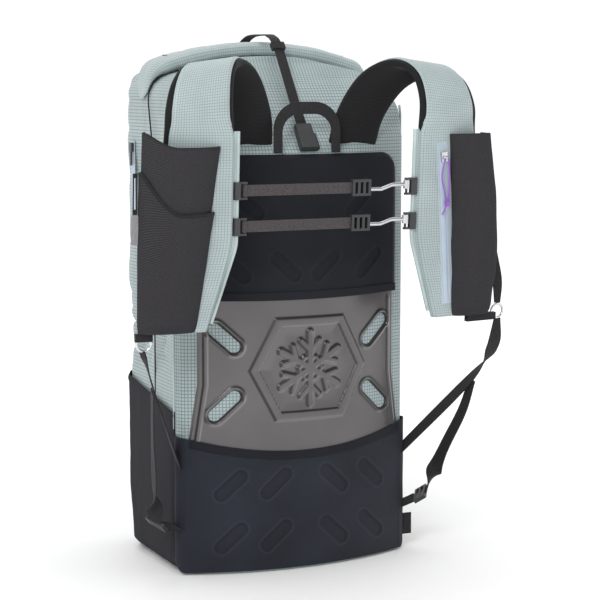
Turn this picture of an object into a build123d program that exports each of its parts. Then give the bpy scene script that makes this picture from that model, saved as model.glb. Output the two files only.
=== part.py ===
from build123d import *
import math
import os

# Touring ski pack, standing on its base. Millimetres, +Z up, +X to the wearer's left as seen
# from the harness side, harness and back panel towards -Y. The origin is the middle of the base.

os.makedirs("parts", exist_ok=True)

# ---------------------------------------------------------------- driving dimensions
SACK_HALF_WIDTH = 150.0        # body of the pack, side to side
BACK_CHORD_HALF = 145.0        # back panel: an upright barrel through these three values
BACK_EDGE_Y = -90.0
BACK_CROWN_Y = -121.0
FRONT_EDGE_Y = 122.0           # front face, crowned between its corners
FRONT_CROWN = 9.0
FRONT_CLEAR = 0.6              # the side view's upright line stands this far off the crown
BACK_CORNER = 11.0
FRONT_CORNER = 52.0
BASE_CORNER = 18.0             # roundings of the base in the front view and in the side view
TOE_CORNER = 62.0
FLANK_TURN = 65.0              # lower front corners, drawn in by a leaning plane each
FLANK_CUT = 14.46              # how far each plane cuts into its rounded corner at the floor
FLANK_RISE = 0.04
LEAN_Z = 500.0                 # above this height the back leans forward to the ridge
RIDGE_Y = -24.0
RIDGE_Z = 612.0
TOP_CROWN_Z = 616.0            # arched top
TOP_EDGE_Z = 594.0
TOP_EDGE_X = 130.0
SHOULDER_CORNER = 38.0
BROW_CORNER = 40.0
SACK_WALL = 2.4                # laminate with its lining and seams
FIT = 0.3                      # clearance between pieces that move on each other

SHEET_THICKNESS = 2.2          # moulded back sheet under the two stretch sleeves
SHEET_BOTTOM = 14.0
SHEET_TOP = 493.0
SHEET_HALF_TOP = 130.0
SHEET_HALF_BOTTOM = 141.0
SHEET_WAIST_LOW = 155.0
SHEET_WAIST_HIGH = 230.0
SHEET_CORNER = 26.0
SLOT_LENGTH = 46.0
SLOT_WIDTH = 15.0
SLOT_ANGLE = 43.0
WINDOW_SLOT_X = 99.0           # slots left open between the sleeves
WINDOW_SLOT_Z = (204.0, 285.0)
HIDDEN_SLOTS = ((-92.0, 108.0), (-38.0, 108.0), (38.0, 108.0), (92.0, 108.0), (-92.0, 44.0),
                (-38.0, 44.0), (38.0, 44.0), (92.0, 44.0), (-72.0, 442.0), (72.0, 442.0),
                (-26.0, 368.0), (26.0, 368.0), (-88.0, 368.0), (88.0, 368.0))
SLEEVE_THICKNESS = 1.4
UPPER_HEM_Z = 328.0
UPPER_TOP_Z = 500.0
UPPER_HALF = 134.0
UPPER_CORNER = 24.0
LOWER_HEM_EDGE_Z = 168.0
LOWER_HEM_MIDDLE_Z = 146.0
LOWER_WRAP_Y = -78.0
SKIN_LOW_Z = 4.0               # sleeve and side pockets end just above the floor

POCKET_SKIN = 1.6              # stretch pockets lying on the sack
SIDE_POCKET_HIGH_Z = 222.0
SIDE_POCKET_LOW_Z = 196.0
SIDE_POCKET_FRONT_Y = 92.0
FRONT_POCKET_THICKNESS = 2.6
FRONT_POCKET_HALF = 112.0
FRONT_POCKET_LOW_Z = 70.0
FRONT_POCKET_HIGH_Z = 520.0
ROLL_HEIGHT = 19.0
ROLL_BACK_Y = 0.0
ROLL_DEPTH = 58.0
ROLL_HALF_LENGTH = 118.0
ROLL_EDGE = 8.5
TAB_WIDTH = 14.0
TAB_THICKNESS = 1.6
TAB_LENGTH = 20.0

PAD_THICKNESS = 10.0           # shoulder straps: padded core, cover, binding left showing
COVER_THICKNESS = 1.4
BINDING = 0.05
FRONT_YAW = 6.0                # the hanging part of each strap is flat: turned out and tilted
FRONT_TILT = 3.5
STRAP_TOP = (118.0, -63.0, 30.0)   # from the crown of the back where it starts to lean
STRAP_WIDTH = 80.0
STRAP_DROP = 227.0
STRAIGHT_DROP = 130.0
INNER_SWEEP = 28.0
OUTER_SWEEP = 22.0
STRAP_TOE = 9.0
ARCH = (((36, 15, 2), (100, 19, 2)), ((42, 4, 45), (106, 6, 42)),
        ((58, -9, 82), (126, -7, 76)), ((76, -23, 102), (150, -21, 92)),
        ((97, -39, 107), (170, -37, 97)), ((113, -55, 94), (187, -50, 83)),
        ((119, -63, 65), (196, -56, 57)))

MESH_WALL = 1.2                # strap pockets
BOTTLE_SECTIONS = ((-6.0, 68.0, 28.0, 22.0), (-60.0, 74.3, 31.0, 26.0),
                   (-140.0, 81.0, 32.8, 26.0), (-219.0, 81.5, 28.5, 17.0))
FLASK_SECTIONS = ((-4.0, 62.0, 43.0, 21.0), (-80.0, 63.0, 43.0, 23.0),
                  (-150.0, 66.0, 40.0, 21.0), (-221.0, 73.0, 33.0, 13.0))
POCKET_CENTRE = 4.0
LOWER_POCKET_DROP = 62.0
LOWER_POCKET_SLOPE = 20.0
ZIP_TOP = (30.0, -27.0)
ZIP_BOTTOM = (46.0, -210.0)
ZIP_WIDTH = 12.0
ZIP_PANEL_WIDTH = 18.0
ZIP_TAPE = 0.7
ZIP_PANEL = 1.0
SLIDER_LENGTH = 11.0
SLIDER_WIDTH = 8.0
SLIDER_HEIGHT = 3.2
EYE_RADIUS = 2.4
EYE_WIRE = 0.8

RAIL_RADIUS = 2.2              # sternum rails and the two sternum straps
RAIL_OFFSET = 5.5
FLANGE = 1.2
CLIP_RADIUS = 4.8
CLIP_HEIGHT = 20.0
CLIP_DROPS = (67.0, 108.0)
PIN_OFFSET = 15.0
PIN_RADIUS = 1.5
LUG = 2.2
EYE_WALL = 1.3
WEB_HEIGHT = 12.7
WEB_THICKNESS = 1.6
BUCKLE_START = 134.0
BUCKLE_LENGTH = 24.0
BUCKLE_HEIGHT = 19.0
BUCKLE_DEPTH = 7.0
LINK_RADIUS = 2.3
LINK_RISE = 2.4
HOOK_WALL = 2.2
HOOK_HEIGHT = 10.0

RING_RADIUS = 8.5              # rings, lower webbing and its ladder locks
RING_WIRE = 1.6
RING_REACH = 24.5
RING_TAB = 9.0
LOWER_WEB_WIDTH = 20.0
LADDER_WIDTH = 26.0
LADDER_HEIGHT = 17.0
LADDER_DEPTH = 5.0
LADDER_BAR = 1.5
LADDER_GAP = 4.0
SEWN = 2.0                     # how far a web's end runs in under the sack's skin
ANCHOR_SEAM = (-82.0, 55.0)
TAIL_BEND = 0.52
TAIL_SAG = (1.0, -4.0, 4.0)
RING_WEB = ((111.0, -118.0, -4.0), (121.0, -160.0, -4.0), (127.5, -190.0, -3.0),
            (126.5, -216.0, 0.0))

HANDLE_HALF = 44.0             # haul handle and the strap over the top
HANDLE_LEG = 13.0
HANDLE_HEIGHT = 59.0
HANDLE_THICKNESS = 1.8
HANDLE_GAP = 0.9
HANDLE_RISE = 2.0
HANDLE_CORNER = 34.0
TOP_X = 5.0
TOP_FOOT = (BACK_CROWN_Y - 3.0, LEAN_Z + 6.0)
TOP_CREST = (RIDGE_Y - 10.0, RIDGE_Z + 17.0)
FEMALE_LENGTH = 20.0
FEMALE_WIDTH = 24.0
FEMALE_DEPTH = 9.0
PRONG_LENGTH = 13.0
PRONG_WIDTH = 3.4
PRONG_SPREAD = 7.2
PRONG_DEPTH = 3.0
MALE_LENGTH = 15.0
MALE_WIDTH = 20.0
STRAP_OVER = ((-12.0, 24.0), (8.0, 26.0), (50.0, 25.0), (80.0, 14.0), (112.0, -2.0),
              (134.0, -26.0), (138.0, -71.0))

PULL_TAB = (8.0, 34.0, 2.0)
TAG = (12.0, 27.0, 1.4)
SIDE_ZIP_Y = 58.0
SIDE_ZIP_LOW = 400.0
SIDE_ZIP_HIGH = 512.0

PULL_CORD_RADIUS = 0.9         # zip pull: two legs of one soft cord, knotted together
CORD_CLEAR = 1.6
LEG_IN = ((0.0, 0.0), (-3.4, -10.0), (-4.2, -22.0), (-2.6, -34.0), (0.6, -45.0), (2.6, -53.0),
          (-0.6, -61.0), (-5.6, -67.0))
LEG_OUT = ((3.0, 0.0), (5.8, -10.0), (6.6, -22.0), (6.0, -34.0), (5.2, -45.0), (4.8, -53.0))
KNOT_RADIUS = 3.2

written = []


def keep(name, solid):
    """Write one node and remember it."""
    export_step(solid, f"parts/{name}.step")
    written.append(name)
    return solid


def both(name, solid):
    """Write a piece for the wearer's left (+X) and its mirror image for the right."""
    left = keep(f"left_{name}", solid)
    right = keep(f"right_{name}", mirror(solid, about=Plane.YZ))
    return left, right


def prism(face_points, low, high, plane):
    """A straight prism over a polygon in a plane, between two distances along its normal."""
    outline = make_face(Polyline(*[plane.from_local_coords(p) for p in face_points], close=True))
    base = outline.moved(Location(plane.z_dir * low))
    return extrude(base, amount=high - low, dir=plane.z_dir)


def block(plane, x, y, z):
    """A box given by its three ranges in a plane's own axes."""
    corners = [(x[0], y[0]), (x[1], y[0]), (x[1], y[1]), (x[0], y[1])]
    return prism(corners, z[0], z[1], plane)


def rod(plane, centre, radius, length, axis="y"):
    """A cylinder centred on a point of a plane, along the plane's own x, y or z."""
    direction = {"x": plane.x_dir, "y": plane.y_dir, "z": plane.z_dir}[axis]
    middle = plane.from_local_coords(centre)
    return Plane(origin=middle, z_dir=direction) * Cylinder(radius, length)


# ---------------------------------------------------------------- sack
back_sagitta = BACK_EDGE_Y - BACK_CROWN_Y
back_radius = (BACK_CHORD_HALF ** 2 + back_sagitta ** 2) / (2 * back_sagitta)
back_centre_y = BACK_CROWN_Y + back_radius
front_radius = (SACK_HALF_WIDTH ** 2 + FRONT_CROWN ** 2) / (2 * FRONT_CROWN)
front_centre_y = FRONT_EDGE_Y + FRONT_CROWN - front_radius
top_sagitta = TOP_CROWN_Z - TOP_EDGE_Z
top_radius = (TOP_EDGE_X ** 2 + top_sagitta ** 2) / (2 * top_sagitta)
top_centre_z = TOP_CROWN_Z - top_radius
LONG = 900.0
lean = Vector(0, RIDGE_Y - BACK_CROWN_Y, RIDGE_Z - LEAN_Z).normalized()
lean_out = Vector(0, -lean.Z, lean.Y)


front_corner_y = front_centre_y + math.sqrt((front_radius - FRONT_CORNER) ** 2
                                            - (SACK_HALF_WIDTH - FRONT_CORNER) ** 2)
flank_turn = math.radians(FLANK_TURN)
flank_reach = (math.sin(flank_turn) * (SACK_HALF_WIDTH - FRONT_CORNER)
               + math.cos(flank_turn) * front_corner_y + FRONT_CORNER - FLANK_CUT)


def sack_solid(grow):
    """The sack's outer form, every face moved out by grow: plan, front view and side view."""
    floor = max(0.0, -grow)
    half = SACK_HALF_WIDTH + grow
    plan = Rectangle(2 * half, LONG)
    plan &= Pos(0, back_centre_y) * Circle(back_radius + grow)
    plan &= Pos(0, front_centre_y) * Circle(front_radius + grow)
    corners = plan.vertices().sort_by(Axis.Y)
    plan = fillet(corners[:2], BACK_CORNER + grow)
    plan = fillet(plan.vertices().sort_by(Axis.Y)[-2:], FRONT_CORNER + grow)
    front = Pos(0, floor + LONG / 2) * Rectangle(2 * half, LONG)
    front &= Pos(0, top_centre_z) * Circle(top_radius + grow)
    front = fillet(front.vertices().sort_by(Axis.Y)[:2], BASE_CORNER + grow)
    front = fillet(front.vertices().sort_by(Axis.Y)[-2:], SHOULDER_CORNER + grow)
    toe_y = FRONT_EDGE_Y + FRONT_CROWN + FRONT_CLEAR + grow
    foot = Vector(0, BACK_CROWN_Y, LEAN_Z) + lean_out * grow - lean * LONG / 9
    crest = Vector(0, RIDGE_Y, RIDGE_Z) + lean_out * grow + lean * LONG / 9
    side = Polyline((toe_y, floor), (foot.Y, floor), (foot.Y, foot.Z), (crest.Y, crest.Z),
                    (crest.Y, LONG), (toe_y, LONG), close=True)
    side = make_face(side)
    side = fillet(side.vertices().group_by(Axis.X)[-1].sort_by(Axis.Y)[0], TOE_CORNER + grow)
    brow = Rectangle(LONG, TOP_CROWN_Z + grow, align=(Align.MAX, Align.MIN))
    brow = Pos(toe_y, 0) * brow
    brow = fillet(brow.vertices().group_by(Axis.X)[-1].sort_by(Axis.Y)[-1], BROW_CORNER + grow)
    side &= brow
    body = extrude(plan, amount=LONG)
    body &= extrude(Plane.XZ * front, amount=LONG, both=True)
    body &= extrude(Plane.YZ * side, amount=LONG, both=True)
    for sign in (-1, 1):
        facing = Vector(sign * math.sin(flank_turn), math.cos(flank_turn), -FLANK_RISE)
        drawn_in = Plane(origin=facing * (flank_reach + grow), z_dir=facing)
        body &= drawn_in * Pos(0, 0, -LONG) * Box(4 * LONG, 4 * LONG, 2 * LONG)
    return body


sack_outer = sack_solid(0.0)
sack = sack_outer - sack_solid(-SACK_WALL)
keep("main_sack", sack)


def back_layer(low, high, outline):
    """Part of the back between two heights over the barrel, inside an outline in x and z."""
    ring = Circle(back_radius + high)
    if low > -back_radius:
        ring -= Circle(back_radius + low)
    ring = Pos(0, back_centre_y) * ring
    ring &= Pos(0, BACK_EDGE_Y - LONG / 2 + 20) * Rectangle(2 * SACK_HALF_WIDTH + 20, LONG)
    wall = extrude(ring, amount=LONG)
    return wall & extrude(Plane.XZ * outline, amount=LONG, both=True)


def slots(centres):
    """Slanting slots with round ends, leaning towards the middle of the sheet's window."""
    middle = sum(WINDOW_SLOT_Z) / 2
    shapes = []
    for x, z in centres:
        side = 1 if (x > 0) == (z > middle) else -1
        turn = Rot(0, 0, side * SLOT_ANGLE)
        shapes.append(Pos(x, z) * turn * SlotOverall(SLOT_LENGTH, SLOT_WIDTH))
    return extrude(Plane.XZ * Sketch(children=shapes), amount=LONG / 4)


sheet_outline = make_face(Polyline(
    (-SHEET_HALF_BOTTOM, SHEET_BOTTOM), (SHEET_HALF_BOTTOM, SHEET_BOTTOM),
    (SHEET_HALF_BOTTOM, SHEET_WAIST_LOW), (SHEET_HALF_TOP, SHEET_WAIST_HIGH),
    (SHEET_HALF_TOP, SHEET_TOP), (-SHEET_HALF_TOP, SHEET_TOP),
    (-SHEET_HALF_TOP, SHEET_WAIST_HIGH), (-SHEET_HALF_BOTTOM, SHEET_WAIST_LOW), close=True))
sheet_outline = fillet(sheet_outline.vertices(), SHEET_CORNER)
slot_centres = [(x, z) for x in (-WINDOW_SLOT_X, WINDOW_SLOT_X) for z in WINDOW_SLOT_Z]
full_sheet = back_layer(0.0, SHEET_THICKNESS, sheet_outline)
frame_sheet = full_sheet - slots(slot_centres + list(HIDDEN_SLOTS))
keep("frame_sheet", frame_sheet)

sleeve_top = SHEET_THICKNESS + SLEEVE_THICKNESS
upper_middle = (UPPER_HEM_Z + UPPER_TOP_Z) / 2
upper_outline = Pos(0, upper_middle) * Rectangle(2 * UPPER_HALF, UPPER_TOP_Z - UPPER_HEM_Z)
upper_outline = fillet(upper_outline.vertices().sort_by(Axis.Y)[-2:], UPPER_CORNER)
upper_sleeve = back_layer(0.0, sleeve_top, upper_outline) - full_sheet - sack_outer
keep("upper_sleeve", upper_sleeve)

hem_drop = LOWER_HEM_EDGE_Z - LOWER_HEM_MIDDLE_Z
hem_radius = (SACK_HALF_WIDTH ** 2 + hem_drop ** 2) / (2 * hem_drop)
lower_outline = Pos(0, (SKIN_LOW_Z + LOWER_HEM_EDGE_Z) / 2) * Rectangle(
    LONG / 2, LOWER_HEM_EDGE_Z - SKIN_LOW_Z)
lower_outline -= Pos(0, LOWER_HEM_MIDDLE_Z + hem_radius) * Circle(hem_radius)
lower_region = extrude(Plane.XZ * lower_outline, amount=LONG / 4)
lower_region &= Pos(0, LOWER_WRAP_Y - LONG / 2, 0) * Box(LONG, LONG, LONG)
lower_sleeve = (sack_solid(sleeve_top) & lower_region) - sack_outer - full_sheet
keep("lower_sleeve", lower_sleeve)


# ---------------------------------------------------------------- pockets and top of the sack
side_profile = make_face(Polyline(
    (LOWER_WRAP_Y, SKIN_LOW_Z), (SIDE_POCKET_FRONT_Y, SKIN_LOW_Z),
    (SIDE_POCKET_FRONT_Y, SIDE_POCKET_HIGH_Z),
    (LOWER_WRAP_Y, SIDE_POCKET_LOW_Z), close=True))
side_region = extrude(Plane.YZ * side_profile, amount=LONG / 4)
side_region &= Pos(SACK_HALF_WIDTH, 0, 0) * Box(SACK_HALF_WIDTH, LONG, LONG)
side_pocket = (sack_solid(POCKET_SKIN) & side_region) - sack_outer
both("side_pocket", side_pocket)

front_profile = Pos(0, (FRONT_POCKET_LOW_Z + FRONT_POCKET_HIGH_Z) / 2) * Rectangle(
    2 * FRONT_POCKET_HALF, FRONT_POCKET_HIGH_Z - FRONT_POCKET_LOW_Z)
front_profile = fillet(front_profile.vertices(), SHEET_CORNER)
front_region = extrude(Plane.XZ * front_profile, amount=-LONG / 4)
front_region &= Pos(0, FRONT_EDGE_Y + LONG / 2 - FRONT_CORNER / 2, 0) * Box(LONG, LONG, 2 * LONG)
front_pocket = (sack_solid(FRONT_POCKET_THICKNESS) & front_region) - sack_outer
keep("front_pocket", front_pocket)

roll_face = Pos(0, top_centre_z) * (Circle(top_radius + ROLL_HEIGHT) - Circle(top_radius))
roll_face &= Pos(0, TOP_EDGE_Z) * Rectangle(2 * ROLL_HALF_LENGTH, LONG / 6)
roll = extrude(Plane.XZ * roll_face, amount=-ROLL_DEPTH)
roll = Pos(0, ROLL_BACK_Y, 0) * roll
roll_edges = roll.edges().filter_by(GeomType.CIRCLE).sort_by(Axis.Z)[-2:]
roll = fillet(roll_edges, ROLL_EDGE)
keep("roll_top", roll)

tab_top_z = top_centre_z + math.sqrt(top_radius ** 2 - ROLL_HALF_LENGTH ** 2) + ROLL_HEIGHT
roll_tab = Pos(ROLL_HALF_LENGTH + TAB_THICKNESS / 2, ROLL_BACK_Y + ROLL_DEPTH / 2,
               tab_top_z - ROLL_HEIGHT / 2) * Box(TAB_THICKNESS, TAB_WIDTH, TAB_LENGTH)
roll_tab -= sack_outer
both("roll_tab", roll_tab)

side_zip = Box(ZIP_TAPE, ZIP_WIDTH, SIDE_ZIP_HIGH - SIDE_ZIP_LOW)
side_zip_middle = (SIDE_ZIP_LOW + SIDE_ZIP_HIGH) / 2
keep("side_zip_tape", Pos(-SACK_HALF_WIDTH - ZIP_TAPE / 2, SIDE_ZIP_Y, side_zip_middle) * side_zip)
side_slider_x = -SACK_HALF_WIDTH - ZIP_TAPE - FIT - SLIDER_HEIGHT / 2
side_slider_z = SIDE_ZIP_HIGH - SLIDER_LENGTH / 2 - 2
side_slider = Box(SLIDER_HEIGHT, SLIDER_WIDTH, SLIDER_LENGTH)
side_slider += Pos(-SLIDER_HEIGHT / 4, 0, -SLIDER_LENGTH) * Box(EYE_WIRE * 2, 5, 2 * SLIDER_LENGTH)
keep("side_zip_slider", Pos(side_slider_x, SIDE_ZIP_Y, side_slider_z) * side_slider)


# ---------------------------------------------------------------- shoulder straps (+X side)
yaw = math.radians(FRONT_YAW)
tilt = math.radians(FRONT_TILT)
rail_up = Vector(0, -math.sin(tilt), math.cos(tilt))
front_out = Vector(math.sin(yaw), -math.cos(yaw) * math.cos(tilt), -math.cos(yaw) * math.sin(tilt))
front_across = rail_up.cross(front_out)
nape = Vector(0, BACK_CROWN_Y, LEAN_Z)
STRAP = Plane(origin=nape + Vector(*STRAP_TOP), x_dir=front_across, z_dir=front_out)
half_pad = PAD_THICKNESS / 2


def stations():
    """Inner edge, outer edge and outward normal of the strap's middle layer, root to front."""
    rows = [(nape + Vector(*inner), nape + Vector(*outer)) for inner, outer in ARCH]
    rows.append((STRAP.from_local_coords((0, 0, 0)), STRAP.from_local_coords((STRAP_WIDTH, 0, 0))))
    middles = [(inner + outer) / 2 for inner, outer in rows]
    result = []
    for k, (inner, outer) in enumerate(rows[:-1]):
        along = middles[k + 1] - middles[max(k - 1, 0)]
        result.append((inner, outer, along.cross(outer - inner).normalized()))
    result.append((rows[-1][0], rows[-1][1], STRAP.z_dir))
    return result


def slab(rows, across, through):
    """A ruled solid along the stations, between two shares of the width and two heights."""
    rings = []
    for inner, outer, normal in rows:
        rings.append([inner + (outer - inner) * share + normal * height
                      for share, height in ((across[0], through[0]), (across[1], through[0]),
                                            (across[1], through[1]), (across[0], through[1]))])
    faces = [Face(Wire.make_polygon(ring, close=True)) for ring in (rings[0], rings[-1])]
    for ring, following in zip(rings, rings[1:]):
        for i in range(4):
            j = (i + 1) % 4
            faces.append(Face.make_surface_from_curves(
                Edge.make_line(ring[i], ring[j]), Edge.make_line(following[i], following[j])))
    solid = Solid(Shell(faces))
    return solid if solid.volume > 0 else Solid(Shell([-face for face in faces]))


def hanging(inset, through, toe):
    """The flat hanging part of the strap, its edges moved in by inset."""
    outline = [(inset, 0), (inset, -STRAIGHT_DROP), (INNER_SWEEP + inset, -STRAP_DROP + inset),
               (STRAP_WIDTH + OUTER_SWEEP - inset, -STRAP_DROP + inset),
               (STRAP_WIDTH + OUTER_SWEEP / 3 - inset, -STRAIGHT_DROP), (STRAP_WIDTH - inset, 0)]
    part = prism(outline, through[0], through[1], STRAP)
    edges = part.edges().filter_by(lambda e: abs(abs(e.tangent_at(0).dot(STRAP.z_dir)) - 1) < 1e-6)
    toes = edges.sort_by(Axis.Z)[:2]
    return fillet(toes, toe)


arch = stations()
pad = slab(arch, (0, 1), (-half_pad, half_pad)) + hanging(0, (-half_pad, half_pad), STRAP_TOE)
pad -= sack_outer
both("strap_pad", pad)
inset = BINDING * STRAP_WIDTH
cover_top = half_pad + COVER_THICKNESS
cover = slab(arch, (BINDING, 1 - BINDING), (half_pad, cover_top))
cover += hanging(inset, (half_pad, cover_top), STRAP_TOE - inset)
cover -= sack_outer
both("strap_cover", cover)

rail_path = FilletPolyline(
    STRAP.from_local_coords((-RAIL_OFFSET, 0)),
    STRAP.from_local_coords((-RAIL_OFFSET, -STRAIGHT_DROP)),
    STRAP.from_local_coords((INNER_SWEEP - RAIL_OFFSET, -STRAP_DROP + STRAP_TOE)), radius=60)
rail = sweep(Plane(origin=rail_path @ 0, z_dir=rail_path % 0) * Circle(RAIL_RADIUS), rail_path)
flange = prism([(-RAIL_OFFSET, 0), (1, 0), (1, -STRAIGHT_DROP),
                (INNER_SWEEP + 1, -STRAP_DROP + STRAP_TOE),
                (INNER_SWEEP - RAIL_OFFSET, -STRAP_DROP + STRAP_TOE),
                (-RAIL_OFFSET, -STRAIGHT_DROP)], -FLANGE / 2, FLANGE / 2, STRAP)
rail = rail + flange - pad
both("rail", rail)


# ---------------------------------------------------------------- pockets on the straps
def pocket_form(sections, grow, low, drop):
    """Ellipses across the strap, lofted down it; the back is cut flat at a height."""
    wires = []
    for height, centre, half, bulge in sections:
        at = STRAP.from_local_coords((centre, height, POCKET_CENTRE))
        level = Plane(origin=at, x_dir=STRAP.x_dir, z_dir=STRAP.y_dir)
        wires.append((level * Ellipse(half + grow, bulge + grow)).wire())
    form = Solid.make_loft(wires, ruled=True)
    return form & block(STRAP, (-50, LONG / 4), (-STRAP_DROP + drop, 50), (low, LONG / 8))


bottle_outer = pocket_form(BOTTLE_SECTIONS, 0.0, -half_pad, 0.0)
bottle_inner = pocket_form(BOTTLE_SECTIONS, -MESH_WALL, -half_pad + MESH_WALL, 9 + MESH_WALL)
bottle_pocket = bottle_outer - bottle_inner - pad - cover
bottle_pocket = bottle_pocket.solids().sort_by(SortBy.VOLUME)[-1]
keep("left_bottle_pocket", bottle_pocket)

flask_outer = pocket_form(FLASK_SECTIONS, 0.0, -half_pad, 0.0)
flask_inner = pocket_form(FLASK_SECTIONS, -MESH_WALL, -half_pad + MESH_WALL, 7 + MESH_WALL)
flask_pocket = flask_outer - flask_inner - pad - cover
flask_pocket = flask_pocket.solids().sort_by(SortBy.VOLUME)[-1]
keep("right_flask_pocket", mirror(flask_pocket, about=Plane.YZ))

skin_region = prism([(-60, -LOWER_POCKET_DROP - LOWER_POCKET_SLOPE),
                     (STRAP_WIDTH / 2, -LOWER_POCKET_DROP - LOWER_POCKET_SLOPE),
                     (STRAP_WIDTH + 60, -LOWER_POCKET_DROP + LOWER_POCKET_SLOPE),
                     (STRAP_WIDTH + 60, -STRAP_DROP - 20), (-60, -STRAP_DROP - 20)],
                    cover_top, LONG / 8, STRAP)
lower_pocket = (pocket_form(FLASK_SECTIONS, POCKET_SKIN, -half_pad, 0.0) & skin_region)
lower_pocket = lower_pocket - flask_outer - cover - pad
lower_pocket = lower_pocket.solids().sort_by(SortBy.VOLUME)[-1]
keep("right_phone_pocket", mirror(lower_pocket, about=Plane.YZ))

zip_run = Vector(ZIP_BOTTOM[0] - ZIP_TOP[0], ZIP_BOTTOM[1] - ZIP_TOP[1], 0)
zip_length = zip_run.length
zip_across = STRAP.x_dir * (-zip_run.Y / zip_length) + STRAP.y_dir * (zip_run.X / zip_length)
ZIP = Plane(origin=STRAP.from_local_coords((ZIP_TOP[0], ZIP_TOP[1], cover_top)),
            x_dir=zip_across, z_dir=STRAP.z_dir)
panel_half = ZIP_PANEL_WIDTH / 2
zip_half = ZIP_WIDTH / 2
zip_panel = block(ZIP, (-panel_half, panel_half), (-zip_length, 14), (0, ZIP_PANEL)) - bottle_outer
keep("left_zip_panel", zip_panel)
zip_tape = block(ZIP, (-zip_half, zip_half), (-zip_length, 2), (ZIP_PANEL, ZIP_PANEL + ZIP_TAPE))
zip_tape -= bottle_outer
keep("left_zip_tape", zip_tape)
slider_low = ZIP_PANEL + ZIP_TAPE + FIT
slider_half = SLIDER_WIDTH / 2
slider = block(ZIP, (-slider_half, slider_half), (-SLIDER_LENGTH, 0),
               (slider_low, slider_low + SLIDER_HEIGHT))
slider -= bottle_outer
eye_height = slider_low + SLIDER_HEIGHT
eye_at = ZIP.from_local_coords((0, -SLIDER_LENGTH / 2, eye_height))
eye = Plane(origin=eye_at, x_dir=ZIP.x_dir, z_dir=ZIP.y_dir) * Torus(EYE_RADIUS, EYE_WIRE)
slider += eye
keep("zip_slider", slider)


def cord_tube(name, points, radius, limit):
    """A cord as straight runs joined by arcs, each arc as wide as its two runs allow."""
    radii = []
    for before, here, after in zip(points, points[1:], points[2:]):
        first, second = here - before, after - here
        turn = math.radians(first.get_angle(second))
        radii.append(min(0.45 * min(first.length, second.length) / math.tan(turn / 2), limit))
    path = FilletPolyline(*points, radius=radii)
    tube = sweep(Plane(origin=path @ 0, z_dir=path % 0) * Circle(radius), path)
    share = tube.volume / (math.pi * radius ** 2 * path.length)
    print(name, "radii", [round(r, 1) for r in radii], "length", round(path.length, 1),
          "volume share", round(share, 4))
    return tube


cord_height = eye_height + EYE_RADIUS + EYE_WIRE + PULL_CORD_RADIUS + FIT
cord_top = -SLIDER_LENGTH / 2 - CORD_CLEAR


def cord_points(leg):
    """A leg's points: over the slider's eye, then down onto the strap's face."""
    lie = slider_low + KNOT_RADIUS + FIT
    points = []
    for x, y in leg:
        drop = min(1.0, -y / 22.0)
        height = cord_height + (lie - cord_height) * drop
        points.append(ZIP.from_local_coords((x - 1.5, cord_top + y, height)))
    return points


leg_in = cord_tube("zip_cord_inner", cord_points(LEG_IN), PULL_CORD_RADIUS, 200.0)
leg_out = cord_tube("zip_cord_outer", cord_points(LEG_OUT), PULL_CORD_RADIUS, 200.0)
knot_at = cord_points(((3.4, -53.0 - KNOT_RADIUS / 2),))[0]
knot = Pos(*knot_at) * Sphere(KNOT_RADIUS)
keep("zip_cord_inner", leg_in)
keep("zip_cord_outer", leg_out)
keep("zip_cord_knot", knot)


# ---------------------------------------------------------------- sternum rails' clips and straps
def clip(drop):
    """A clip that slides on the rail, with a pin between two lugs for a strap's eye."""
    at = (-RAIL_OFFSET, -drop, 0)
    body = rod(STRAP, at, CLIP_RADIUS, CLIP_HEIGHT)
    low, high = -drop - CLIP_HEIGHT / 2, -drop + CLIP_HEIGHT / 2
    pin_x = -PIN_OFFSET
    lug_half = PIN_RADIUS + 1.2
    for y0, y1 in ((low, low + LUG), (high - LUG, high)):
        body += block(STRAP, (pin_x, -RAIL_OFFSET), (y0, y1), (-lug_half, lug_half))
        body += rod(STRAP, (pin_x, (y0 + y1) / 2, 0), lug_half, LUG)
    body += rod(STRAP, (pin_x, -drop, 0), PIN_RADIUS, CLIP_HEIGHT)
    body -= rod(STRAP, at, RAIL_RADIUS + FIT, CLIP_HEIGHT + 2)
    slot_half = FLANGE / 2 + FIT + 0.2
    body -= block(STRAP, (-RAIL_OFFSET, 10), (low - 1, high + 1), (-slot_half, slot_half))
    return body


def arm_plane(drop):
    """The plane of one sternum strap: its origin on the -X pin, x towards the +X pin."""
    pin = STRAP.from_local_coords((-PIN_OFFSET, -drop, 0))
    out = Vector(1, 0, 0).cross(rail_up)
    return Plane(origin=(-pin.X, pin.Y, pin.Z), x_dir=(1, 0, 0), z_dir=out), 2 * pin.X


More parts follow.
